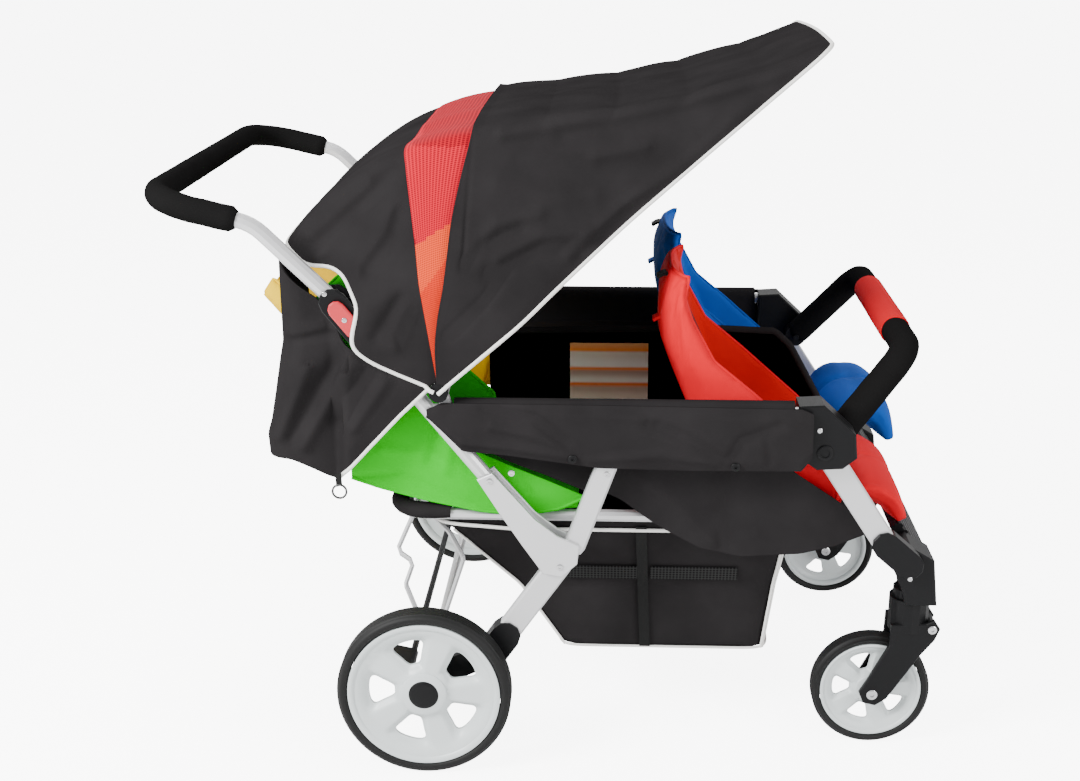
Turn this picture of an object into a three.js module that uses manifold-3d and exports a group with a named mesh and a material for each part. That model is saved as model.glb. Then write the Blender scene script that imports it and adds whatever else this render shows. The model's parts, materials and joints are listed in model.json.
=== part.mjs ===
// Multi seat daycare stroller: two rows of two fabric seats on a folding tube frame,
// with a long sun canopy, a push handle, a bumper bar and a basket under the seats.
//
// Lengths are in millimetres. +X is forward, +Y is the stroller's left side and +Z is up.
// X is measured from the rear axle and Z from the ground. The last lines of the file move
// the whole stroller so that its box is centred over the origin.

import * as THREE from 'three';
import { mergeVertices } from 'three/addons/utils/BufferGeometryUtils.js';
import Module from 'manifold-3d';

const wasm = await Module();
wasm.setup();

// Clearances
const fitGap = 0.3; // between two faces that rest on each other
const boreGap = 0.5; // round a pin that something turns on
const cheekGap = 1; // beside a part that turns between two cheeks

// Widths
const frameHalf = 333; // middle plane of the side tubes
const rearWheelOut = 47; // from the side tubes out to the middle of a rear wheel
const casterInset = 65;
const frontLegInset = 21;
const bumperFootInset = 59;
const bumperCornerInset = 97;
const seatTubeInset = 47;
const basketTopInset = 1; // from the seat frame's middle line
const basketFloorInset = 60;

// Wheels
const rearTyreRadius = 127;
const rearRimRadius = 111;
const rearTyreWidth = 38;
const rearTrack = 2 * (frameHalf + rearWheelOut); // between the middles of the rear wheels
const frontTyreRadius = 88;
const frontRimRadius = 75;
const frontTyreWidth = 32;
const frontTrack = 2 * (frameHalf - casterInset);
const wheelbase = 660;
const spokeCount = 5;
const wheelFacets = 28; // a flat facet of each tyre faces straight down
const facetTurn = Math.PI / wheelFacets;
const axleRadius = 7;
const wheelPinRadius = 5;

// Side frames
const tubeRadius = 11;
const barDepth = 22; // width of the flat bars across the stroller
const hubPin = new THREE.Vector2(196, 311);
const latchPivot = new THREE.Vector2(-115, 698);
const pinRadius = 5;
const rearLegWidth = 35;
const rearLegLength = 138;
const rearLegAngle = 235; // degrees from +X towards +Z
const linkArmWidth = 30;
const linkArmFoot = new THREE.Vector2(217, 340);
const railLift = 53; // from the front leg's pivot up to the side rail
const railRadius = 10;
const hubPlateThickness = 5.5;

// Handle
const gripEnd = new THREE.Vector2(-224, 805);
const handleCorner = new THREE.Vector2(-368, 838);
const handleBend = 70;
const gripRadius = 18;
const handleRadius = 11;
const latchWidth = 40;
const latchLength = 62;
const latchCheek = 5;
const leverThickness = 8;

// Front end
const pivotSetback = 95; // from the front wheel's middle back to the leg's pivot
const frontPivot = new THREE.Vector2(wheelbase - pivotSetback, 487);
const railHeight = frontPivot.y + railLift;
const frontLegHalf = frameHalf - frontLegInset;
const frontLegWidth = 34;
const frontLegDepth = 17.6;
const frontLegLength = 190;
const frontLegAngle = -56.7;
const jointCheek = 6.5;
const casterTrail = 51;
const swivelAxisX = wheelbase + casterTrail;
const swivelHeadRadius = 30;
const swivelHeadTop = 239;
const swivelHeadBottom = 188;
const forkArmThickness = 8;
const crownDepth = 44;
const boardTop = new THREE.Vector2(swivelAxisX - 19, 345);
const boardLow = new THREE.Vector2(swivelAxisX + 35, 275);
const boardThickness = 15;
const boardRibs = 7;

// Bumper bar
const bumperPivot = new THREE.Vector2(frontPivot.x + 25, frontPivot.y + 2);
const bumperCorner = new THREE.Vector2(bumperPivot.x + 100, bumperPivot.y + 118);
const bumperFoam = 21;
const bumperHalf = frameHalf - bumperCornerInset; // to the middle of the corner bends
const bumperFootHalf = frameHalf - bumperFootInset;
const sleeveHalf = 138;

// Seat frame and basket
const seatTubeHeight = 366;
const seatTubeHalf = frameHalf - seatTubeInset;
const seatTubeRadius = 9;
const seatTubeRear = -47;
const seatTubeFront = 540;
const crossTubeXs = [42, 150, 430, 530];
const basketRear = -2;
const basketFront = 546;
const basketFloorRear = 195;
const basketFloorFront = 509;
const basketFloorHeight = 118;
const basketFloorHalf = seatTubeHalf - basketFloorInset;
const basketTopHalf = seatTubeHalf - basketTopInset;
const basketWall = 4;

// Seats
const seatInner = 16; // from the middle plane to each seat's inner face
const seatOuter = seatTubeHalf;
const rowSpacing = 388;
const frontHingeX = 430; // each back turns round the cross tube at its foot
const hingeToSeat = 24;
const seatDepth = 154;
const seatThickness = 38;
const seatEdge = 12;
const wingThickness = 22;
const backThickness = 34;
const greenBackLength = 362;
const yellowBackLength = 424;
const greenRecline = 37; // degrees from upright
const yellowRecline = 56;
const legRestThickness = 34;
const wideLegRestThickness = 52;

// Fabric
const clothThickness = 3;
const padThickness = 8;
const skirtInner = seatTubeHalf + seatTubeRadius;

// Canopy
const canopyLift = 32; // from the side rail up to the canopy's pivot
const canopyPivot = new THREE.Vector2(28, railHeight + canopyLift);
const canopyFoot = 14; // radius at which the cloth starts round its pivot
const canopyFrontAngle = 40.7;
const canopySplitAngle = 84;
const canopyLap = 5; // degrees by which the visor laps over the rear hood
const canopyRearAngle = 138.5;
const canopyShift = 6; // by which the visor's sides lie outside the hood's
const canopyHalf = frameHalf + tubeRadius + clothThickness - 0.2; // at the lower corners

const degrees = Math.PI / 180;
const middle = (a, b) => (a + b) / 2;
const blend = THREE.MathUtils.lerp;
const ease = (t) => THREE.MathUtils.smoothstep(t, 0, 1);

// Turns a closed geometry into a solid that can be joined and cut
function solidOf(geometry) {
  const bare = geometry.clone();
  bare.deleteAttribute('normal');
  bare.deleteAttribute('uv');
  const merged = mergeVertices(bare, 1e-4);
  const mesh = new wasm.Mesh({
    numProp: 3,
    vertProperties: new Float32Array(merged.getAttribute('position').array),
    triVerts: new Uint32Array(merged.getIndex().array),
  });
  return new wasm.Manifold(mesh);
}

function geometryOf(solid) {
  const mesh = solid.getMesh();
  const geometry = new THREE.BufferGeometry();
  geometry.setAttribute('position', new THREE.Float32BufferAttribute(mesh.vertProperties, 3));
  geometry.setIndex(Array.from(mesh.triVerts));
  return geometry;
}

function join(...geometries) {
  return geometryOf(geometries.map(solidOf).reduce((whole, piece) => whole.add(piece)));
}

function cut(geometry, ...cutters) {
  const solid = cutters.map(solidOf).reduce((whole, cutter) => whole.subtract(cutter), solidOf(geometry));
  return geometryOf(solid);
}

// The same piece on the stroller's other side
function mirrored(geometry) {
  const copy = geometryOf(solidOf(geometry));
  copy.scale(1, -1, 1);
  const index = copy.getIndex().array;
  for (let i = 0; i < index.length; i += 3) {
    [index[i + 1], index[i + 2]] = [index[i + 2], index[i + 1]];
  }
  return copy;
}

// A flat outline in X and Z, given depth from y0 to y1
function plate(shape, y0, y1, bevel = 0) {
  const geometry = new THREE.ExtrudeGeometry(shape, {
    depth: y1 - y0 - 2 * bevel,
    bevelEnabled: bevel > 0,
    bevelThickness: bevel,
    bevelSize: bevel,
    bevelOffset: -bevel,
    bevelSegments: 1,
  });
  return geometry.rotateX(Math.PI / 2).translate(0, y1 - bevel, 0);
}

// Points along an arc, for outlines
function arc(centre, radius, from, to, steps) {
  return Array.from({ length: steps + 1 }, (_, i) => {
    const angle = blend(from, to, i / steps);
    const x = centre.x + radius * Math.cos(angle);
    return new THREE.Vector2(x, centre.y + radius * Math.sin(angle));
  });
}

const circle = (centre, radius, steps) => arc(centre, radius, 0, 2 * Math.PI, steps).slice(0, steps);

// The outline of a flat bar with round ends, with a hole at each point of holes
function barShape(a, b, width, holes = []) {
  const angle = Math.atan2(b.y - a.y, b.x - a.x);
  const quarter = Math.PI / 2;
  const shape = new THREE.Shape([
    ...arc(a, width / 2, angle + quarter, angle + 3 * quarter, 5),
    ...arc(b, width / 2, angle - quarter, angle + quarter, 5),
  ]);
  for (const hole of holes) {
    shape.holes.push(new THREE.Path(circle(hole, hole.z, 10)));
  }
  return shape;
}

const holeAt = (point, radius) => new THREE.Vector3(point.x, point.y, radius);

function outline(points) {
  return new THREE.Shape(points.map(([x, z]) => new THREE.Vector2(x, z)));
}

// A round bar across the stroller
function crossBar(at, radius, y0, y1, sides = 10) {
  return new THREE.CylinderGeometry(radius, radius, y1 - y0, sides).translate(at.x, middle(y0, y1), at.y);
}

// An upright round bar
function post(x, y, radius, z0, z1, sides = 16) {
  const geometry = new THREE.CylinderGeometry(radius, radius, z1 - z0, sides).rotateX(Math.PI / 2);
  return geometry.translate(x, y, middle(z0, z1));
}

// A path of straight runs with round bends, with a ring only where the tube needs one
class BentPath extends THREE.Curve {
  constructor(corners, bend, bendSteps) {
    super();
    this.stations = [];
    corners.forEach((corner, i) => {
      const before = corners[i - 1] ?? corner;
      const after = corners[i + 1] ?? corner;
      const into = corner.clone().sub(before).normalize();
      const out = after.clone().sub(corner).normalize();
      if (i === 0 || i === corners.length - 1) {
        this.stations.push({ at: corner, along: i === 0 ? out : into });
        return;
      }
      const turn = into.angleTo(out);
      const axis = into.clone().cross(out).normalize();
      const start = corner.clone().addScaledVector(into, -bend * Math.tan(turn / 2));
      const centre = start.clone().addScaledVector(axis.clone().cross(into), bend);
      for (let k = 0; k <= bendSteps; k++) {
        const angle = (turn * k) / bendSteps;
        const at = start.clone().sub(centre).applyAxisAngle(axis, angle).add(centre);
        this.stations.push({ at, along: into.clone().applyAxisAngle(axis, angle) });
      }
    });
  }

  getUtoTmapping(u) {
    return u;
  }

  getPoint(t, target = new THREE.Vector3()) {
    return target.copy(this.stations[Math.round(t * (this.stations.length - 1))].at);
  }

  getTangent(t, target = new THREE.Vector3()) {
    return target.copy(this.stations[Math.round(t * (this.stations.length - 1))].along);
  }
}

function tube(corners, radius, { bend = 40, bendSteps = 4, sides = 10, bore = 0 } = {}) {
  const path = new BentPath(corners, bend, bendSteps);
  const section = new THREE.Shape().absarc(0, 0, radius, 0, 2 * Math.PI, false);
  if (bore > 0) {
    section.holes.push(new THREE.Path().absarc(0, 0, bore, 0, 2 * Math.PI, true));
  }
  return new THREE.ExtrudeGeometry(section, {
    steps: path.stations.length - 1,
    curveSegments: sides / 2,
    extrudePath: path,
  });
}

const inPlane = (point, y) => new THREE.Vector3(point.x, y, point.y);

// The point at a distance and an angle from another, in the side view
function reach(from, distance, angle) {
  const x = from.x + distance * Math.cos(angle * degrees);
  return new THREE.Vector2(x, from.y + distance * Math.sin(angle * degrees));
}

// Reads a height or width from a short list of [position, value] pairs
function profile(pairs, position) {
  const last = pairs.length - 1;
  if (position <= pairs[0][0]) return pairs[0][1];
  if (position >= pairs[last][0]) return pairs[last][1];
  const i = pairs.findIndex(([at]) => at >= position);
  const [a, from] = pairs[i - 1];
  const [b, to] = pairs[i];
  return blend(from, to, (position - a) / (b - a));
}

// A sheet or pad: place(u, v) gives its middle surface and thickness(u, v) its depth
function sheet(columns, rows, place, thickness) {
  const faces = { outer: [], inner: [] };
  const step = 1e-3;
  const clamp = (t) => THREE.MathUtils.clamp(t, 0, 1);
  for (let i = 0; i <= columns; i++) {
    for (let j = 0; j <= rows; j++) {
      const u = i / columns;
      const v = j / rows;
      const alongU = place(clamp(u + step), v).sub(place(clamp(u - step), v));
      const alongV = place(u, clamp(v + step)).sub(place(u, clamp(v - step)));
      const normal = alongU.cross(alongV).normalize();
      const half = thickness(u, v) / 2;
      faces.outer.push(place(u, v).addScaledVector(normal, half));
      faces.inner.push(place(u, v).addScaledVector(normal, -half));
    }
  }
  const at = (i, j) => i * (rows + 1) + j;
  const inner = faces.outer.length;
  const index = [];
  const quad = (a, b, c, d) => index.push(a, b, c, a, c, d);
  for (let i = 0; i < columns; i++) {
    for (let j = 0; j < rows; j++) {
      quad(at(i, j), at(i + 1, j), at(i + 1, j + 1), at(i, j + 1));
      quad(inner + at(i, j), inner + at(i, j + 1), inner + at(i + 1, j + 1), inner + at(i + 1, j));
    }
  }
  for (let i = 0; i < columns; i++) {
    quad(at(i, 0), inner + at(i, 0), inner + at(i + 1, 0), at(i + 1, 0));
    quad(at(i, rows), at(i + 1, rows), inner + at(i + 1, rows), inner + at(i, rows));
  }
  for (let j = 0; j < rows; j++) {
    quad(at(0, j), at(0, j + 1), inner + at(0, j + 1), inner + at(0, j));
    quad(at(columns, j), inner + at(columns, j), inner + at(columns, j + 1), at(columns, j + 1));
  }
  return closedGeometry([...faces.outer, ...faces.inner], index);
}

// Builds a geometry from points and triangles, with its faces pointing out
function closedGeometry(points, index) {
  let volume = 0;
  for (let i = 0; i < index.length; i += 3) {
    const [a, b, c] = [points[index[i]], points[index[i + 1]], points[index[i + 2]]];
    volume += a.dot(b.clone().cross(c));
  }
  const turned = volume < 0;
  const order = index.map((value, i) => (turned ? index[i - (i % 3) + [0, 2, 1][i % 3]] : value));
  const geometry = new THREE.BufferGeometry().setFromPoints(points);
  geometry.setIndex(order);
  return geometry;
}

const full = (t, power = 4) => 1 - Math.abs(2 * t - 1) ** power;

const stroller = new THREE.Group();

function add(name, geometry, finish) {
  const mesh = new THREE.Mesh(geometry, finish.clone());
  mesh.name = name;
  stroller.add(mesh);
}

function addBothSides(name, geometry, finish) {
  add(`${name}_left`, geometry, finish);
  add(`${name}_right`, mirrored(geometry), finish);
}

function finishOf(color, roughness, metalness = 0) {
  return new THREE.MeshStandardMaterial({ color, roughness, metalness });
}

const silver = finishOf(0xc9ccce, 0.35, 0.8);
const blackPlastic = finishOf(0x17181a, 0.5);
const greyPlastic = finishOf(0xc6cccd, 0.4);
const rubber = finishOf(0x131313, 0.85);
const foam = finishOf(0x191919, 0.9);
const redFoam = finishOf(0xd8323a, 0.85);
const redPlastic = finishOf(0xc64340, 0.45);
const blackCloth = finishOf(0x1b1b1c, 0.95);
const seatCloths = {
  green: finishOf(0x27c425, 0.85),
  yellow: finishOf(0xf2c512, 0.85),
  red: finishOf(0xe8242c, 0.85),
  blue: finishOf(0x2f66c8, 0.85),
};

// Wheels
// A wheel's ring, web and boss are one moulding. Its windows lie between the spokes.
function rimGeometry(radius, width, boreRadius, blind) {
  const ringWall = 0.09 * radius;
  const bossRadius = 0.3 * radius;
  const windowInner = 0.37 * radius;
  const windowOuter = 0.76 * radius;
  const windowHalf = 0.27 * (2 * Math.PI / spokeCount);
  const hub = new THREE.Vector2(0, 0);
  const ringShape = new THREE.Shape(circle(hub, radius / Math.cos(facetTurn), wheelFacets));
  ringShape.holes.push(new THREE.Path(circle(hub, radius - ringWall, wheelFacets)));
  const web = new THREE.Shape(circle(hub, radius - ringWall / 2, wheelFacets));
  for (let k = 0; k < spokeCount; k++) {
    const angle = (2 * Math.PI * k) / spokeCount - Math.PI / 2;
    web.holes.push(new THREE.Path([
      ...arc(hub, windowOuter, angle - windowHalf, angle + windowHalf, 3),
      ...arc(hub, windowInner, angle + 0.7 * windowHalf, angle - 0.7 * windowHalf, 2),
    ]));
  }
  const ring = plate(ringShape, -width / 2, width / 2);
  const face = plate(web, -0.1 * width, 0.3 * width);
  const boss = crossBar(hub, bossRadius, -width / 2, width / 2, 12);
  const boreEnd = blind ? width / 2 - 4 : width;
  const bore = crossBar(hub, boreRadius, -width, boreEnd, 12);
  return cut(join(ring, face, boss), bore).rotateY(facetTurn);
}

function tyreGeometry(radius, rimRadius, width) {
  const inner = rimRadius + fitGap;
  const half = width / 2;
  const section = [
    [inner, -0.8 * half],
    [inner + 7, -half],
    [radius - 3, -0.7 * half],
    [radius, -0.3 * half],
    [radius, 0.3 * half],
    [radius - 3, 0.7 * half],
    [inner + 7, half],
    [inner, 0.8 * half],
    [inner, -0.8 * half],
  ];
  const points = section.map(([r, y]) => new THREE.Vector2(r / Math.cos(facetTurn), y));
  return new THREE.LatheGeometry(points, wheelFacets).rotateY(facetTurn);
}

// Spokes reach a little less wide than the tyre
const rimInset = 3;
const axleEnd = rearTrack / 2 + rearTyreWidth / 2 - rimInset - 5;
const rearWheelAt = new THREE.Vector3(0, rearTrack / 2, rearTyreRadius);
const frontWheelAt = new THREE.Vector3(wheelbase, frontTrack / 2, frontTyreRadius);

function addWheels() {
  const rearRim = rimGeometry(rearRimRadius, rearTyreWidth - 2 * rimInset, axleRadius + boreGap, true);
  const rearTyre = tyreGeometry(rearTyreRadius, rearRimRadius, rearTyreWidth);
  const frontRim = rimGeometry(frontRimRadius, frontTyreWidth - 2 * rimInset, wheelPinRadius + boreGap, false);
  const frontTyre = tyreGeometry(frontTyreRadius, frontRimRadius, frontTyreWidth);
  addBothSides('rear_rim', rearRim.translate(...rearWheelAt), greyPlastic);
  addBothSides('rear_tyre', rearTyre.translate(...rearWheelAt), rubber);
  addBothSides('front_rim', frontRim.translate(...frontWheelAt), greyPlastic);
  addBothSides('front_tyre', frontTyre.translate(...frontWheelAt), rubber);
}

// Side frames
const barInner = frameHalf - barDepth / 2;
const barOuter = frameHalf + barDepth / 2;
const plateInner = barInner - fitGap;
const plateOuter = barOuter + fitGap;
const mainDirection = hubPin.clone().sub(latchPivot).normalize();
const mainAngle = mainDirection.angle() / degrees;
const legFoot = reach(hubPin, rearLegLength, rearLegAngle);
const mainTubeTop = latchPivot.clone().addScaledVector(mainDirection, 16);
const mainTubeFoot = hubPin.clone().addScaledVector(mainDirection, -(rearLegWidth / 2 + 6));
const linkArmTop = new THREE.Vector2(290, railHeight);
const padInner = barOuter + fitGap;
const latchInner = frameHalf - handleRadius - cheekGap - latchCheek;

function mainTube(radius) {
  return tube([inPlane(mainTubeTop, frameHalf), inPlane(mainTubeFoot, frameHalf)], radius, { sides: 14 });
}

function addSideFrames() {
  addBothSides('main_tube', mainTube(tubeRadius), silver);

  const legHole = holeAt(hubPin, pinRadius + boreGap);
  const leg = plate(barShape(hubPin, legFoot, rearLegWidth, [legHole]), barInner + cheekGap, barOuter - cheekGap, 3);
  addBothSides('rear_leg', leg, silver);

  // The hub's two cheeks hold the main tube, the link arm and the rear leg's pin
  const along = (distance, aside) => {
    const at = hubPin.clone().addScaledVector(mainDirection, -distance);
    return [at.x - mainDirection.y * aside, at.y + mainDirection.x * aside];
  };
  const cheek = outline([
    along(176, -9),
    along(170, 14),
    along(80, 17),
    along(40, 26),
    along(8, 42),
    along(-12, 22),
    along(-14, -8),
    along(6, -26),
    along(60, -22),
    along(120, -16),
  ]);
  const hub = join(
    plate(cheek, plateInner - hubPlateThickness, plateInner, 1),
    plate(cheek, plateOuter, plateOuter + hubPlateThickness, 1),
    crossBar(hubPin, pinRadius, plateInner - 1, plateOuter + 1),
  );
  addBothSides('hub_plate', hub, silver);

  const railCorners = [new THREE.Vector3(canopyPivot.x - 20, frameHalf, railHeight)];
  railCorners.push(new THREE.Vector3(frontPivot.x - 22, frameHalf, railHeight));
  const clampRadius = railRadius + 3;
  const clampAt = (radius, half) => {
    const x = linkArmTop.x;
    return tube([
      new THREE.Vector3(x - half, frameHalf, railHeight),
      new THREE.Vector3(x + half, frameHalf, railHeight),
    ], radius, { sides: 14 });
  };
  const spacerAt = new THREE.Vector2(linkArmFoot.x + 11, seatTubeHeight);
  const arm = cut(
    join(plate(barShape(linkArmFoot, linkArmTop, linkArmWidth), barInner, barOuter, 3), clampAt(clampRadius, 20)),
    clampAt(railRadius + fitGap, 60),
  );
  addBothSides('link_arm', arm, silver);

  // The rail ends against the main tube and carries the canopy's boss
  const boss = join(
    tube(railCorners, railRadius, { sides: 14 }),
    crossBar(canopyPivot, canopyFoot - fitGap, frameHalf - 8, padInner + 11, 16),
    plate(barShape(canopyPivot, new THREE.Vector2(canopyPivot.x + 12, railHeight), 16), frameHalf - 6, frameHalf + 6),
  );
  const rail = cut(boss, mainTube(tubeRadius + fitGap));
  addBothSides('side_rail', keepLargest(rail), silver);
  return spacerAt;
}

// Drops the offcut that is left behind a cutter
function keepLargest(geometry) {
  const pieces = solidOf(geometry).decompose();
  return geometryOf(pieces.reduce((a, b) => (a.volume() > b.volume() ? a : b)));
}

// Handle and its fold locks
function addHandle() {
  const side = (y) => [inPlane(latchPivot, y), inPlane(gripEnd, y), inPlane(handleCorner, y)];
  const bends = { bend: handleBend, bendSteps: 4, sides: 10 };
  const corners = [...side(frameHalf), ...side(-frameHalf).reverse()];
  const eye = (y) => crossBar(latchPivot, handleRadius + 1, y - handleRadius, y + handleRadius, 12);
  const hole = crossBar(latchPivot, pinRadius + boreGap, -frameHalf - 30, frameHalf + 30);
  const frame = cut(join(tube(corners, handleRadius, bends), eye(frameHalf), eye(-frameHalf)), hole);
  add('handle_tube', frame, silver);

  const gripStart = gripEnd.clone().lerp(handleCorner, 0.14);
  const gripCorners = [inPlane(gripStart, frameHalf), inPlane(handleCorner, frameHalf)];
  gripCorners.push(inPlane(handleCorner, -frameHalf), inPlane(gripStart, -frameHalf));
  const grip = tube(gripCorners, gripRadius, { ...bends, bore: handleRadius + boreGap });
  add('handle_grip', grip, foam);

  // Each lock is a plastic clevis on the top of the main tube
  const foot = latchPivot.clone().addScaledVector(mainDirection, latchLength);
  const inner = latchInner;
  const outer = 2 * frameHalf - latchInner;
  const block = plate(barShape(latchPivot, foot, latchWidth), inner, outer, 2);
  const slot = new THREE.BoxGeometry(latchWidth * 2, 2 * (handleRadius + cheekGap), latchWidth * 2);
  slot.rotateY(-(mainAngle - 90) * degrees);
  const slotAt = latchPivot.clone().addScaledVector(mainDirection, 14 - latchWidth);
  slot.translate(slotAt.x, frameHalf, slotAt.y);
  const pin = crossBar(latchPivot, pinRadius, inner + 1, outer - 1);
  const housing = join(cut(block, slot, mainTube(tubeRadius + fitGap)), pin);
  addBothSides('latch_housing', housing, blackPlastic);

  // The release lever lies on the clevis and turns on a pin in its lower end
  const leverFoot = latchPivot.clone().addScaledVector(mainDirection, latchLength - 14);
  const leverTop = latchPivot.clone().addScaledVector(mainDirection, 10);
  const leverInner = outer + fitGap;
  const lever = plate(barShape(leverFoot, leverTop, 24), leverInner, leverInner + leverThickness, 2);
  addBothSides('latch_lever', lever, redPlastic);
}

// Rear undercarriage
const bracketInner = plateInner - 2;
const bracketOuter = plateOuter + 2;
const brakePivot = new THREE.Vector2(-34, rearTyreRadius - 9);
const brakeRodRadius = 5;

function addRearUndercarriage() {
  const axleAt = new THREE.Vector2(0, rearTyreRadius);
  const knee = reach(legFoot, 34, rearLegAngle);
  const bracket = cut(
    join(
      plate(barShape(legFoot, knee, rearLegWidth + 8), bracketInner, bracketOuter),
      plate(barShape(knee, axleAt, 36), bracketInner, bracketOuter),
      plate(barShape(axleAt, brakePivot, 24), bracketInner, bracketOuter),
    ),
    plate(
      barShape(hubPin, legFoot, rearLegWidth + 2 * fitGap),
      barInner + cheekGap - fitGap,
      barOuter - cheekGap + fitGap,
    ),
    crossBar(axleAt, axleRadius + fitGap, 0, rearTrack, 16),
    crossBar(brakePivot, brakeRodRadius + boreGap, 0, rearTrack, 16),
  );
  addBothSides('axle_bracket', bracket, blackPlastic);

  // The stay wires stand on the axle and end under the seat frame
  const wire = (y, route) => tube(route.map(([x, z]) => new THREE.Vector3(x, y, z)), 4, {
    bend: 9,
    bendSteps: 1,
    sides: 6,
  });
  const joggedHalf = seatTubeHalf - 24;
  const bracedHalf = seatTubeHalf - 90;
  const jogged = [[0, rearTyreRadius], [-40, 240], [-27, 277], [-51, 295], [-26, 352]];
  const braced = [[0, rearTyreRadius], [42, 255], [20, 300], [-30, 352]];
  const wires = [-1, 1].flatMap((side) => [wire(side * joggedHalf, jogged), wire(side * bracedHalf, braced)]);
  const axle = crossBar(axleAt, axleRadius, -axleEnd, axleEnd, 16);
  add('rear_axle', join(axle, ...wires), silver);

  // The brake bar turns in the brackets, with a pedal by the right wheel and a stop by each wheel
  const rodEnd = bracketOuter + 9;
  const stopTop = new THREE.Vector2(brakePivot.x, brakePivot.y + 34);
  const stop = (side) => {
    const y = side * (bracketOuter + 5);
    return plate(barShape(brakePivot, stopTop, 14), y - 4, y + 4);
  };
  const pedalEnd = reach(brakePivot, 72, 168);
  const pedalWidth = 60;
  const pedalSide = bracketInner - 15;
  const brake = join(
    crossBar(brakePivot, brakeRodRadius, -rodEnd, rodEnd),
    plate(barShape(brakePivot, pedalEnd, 16), -pedalSide, pedalWidth - pedalSide, 2),
    stop(1),
    stop(-1),
  );
  add('brake_bar', brake, blackPlastic);
}

// Front joints, legs, crowns and casters
const legInner = frontLegHalf - frontLegDepth / 2;
const legOuter = frontLegHalf + frontLegDepth / 2;
const frontLegFoot = reach(frontPivot, frontLegLength, frontLegAngle);
const crownWall = 3;
const bumperSocketInner = bumperFootHalf - bumperFoam - 4;

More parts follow.
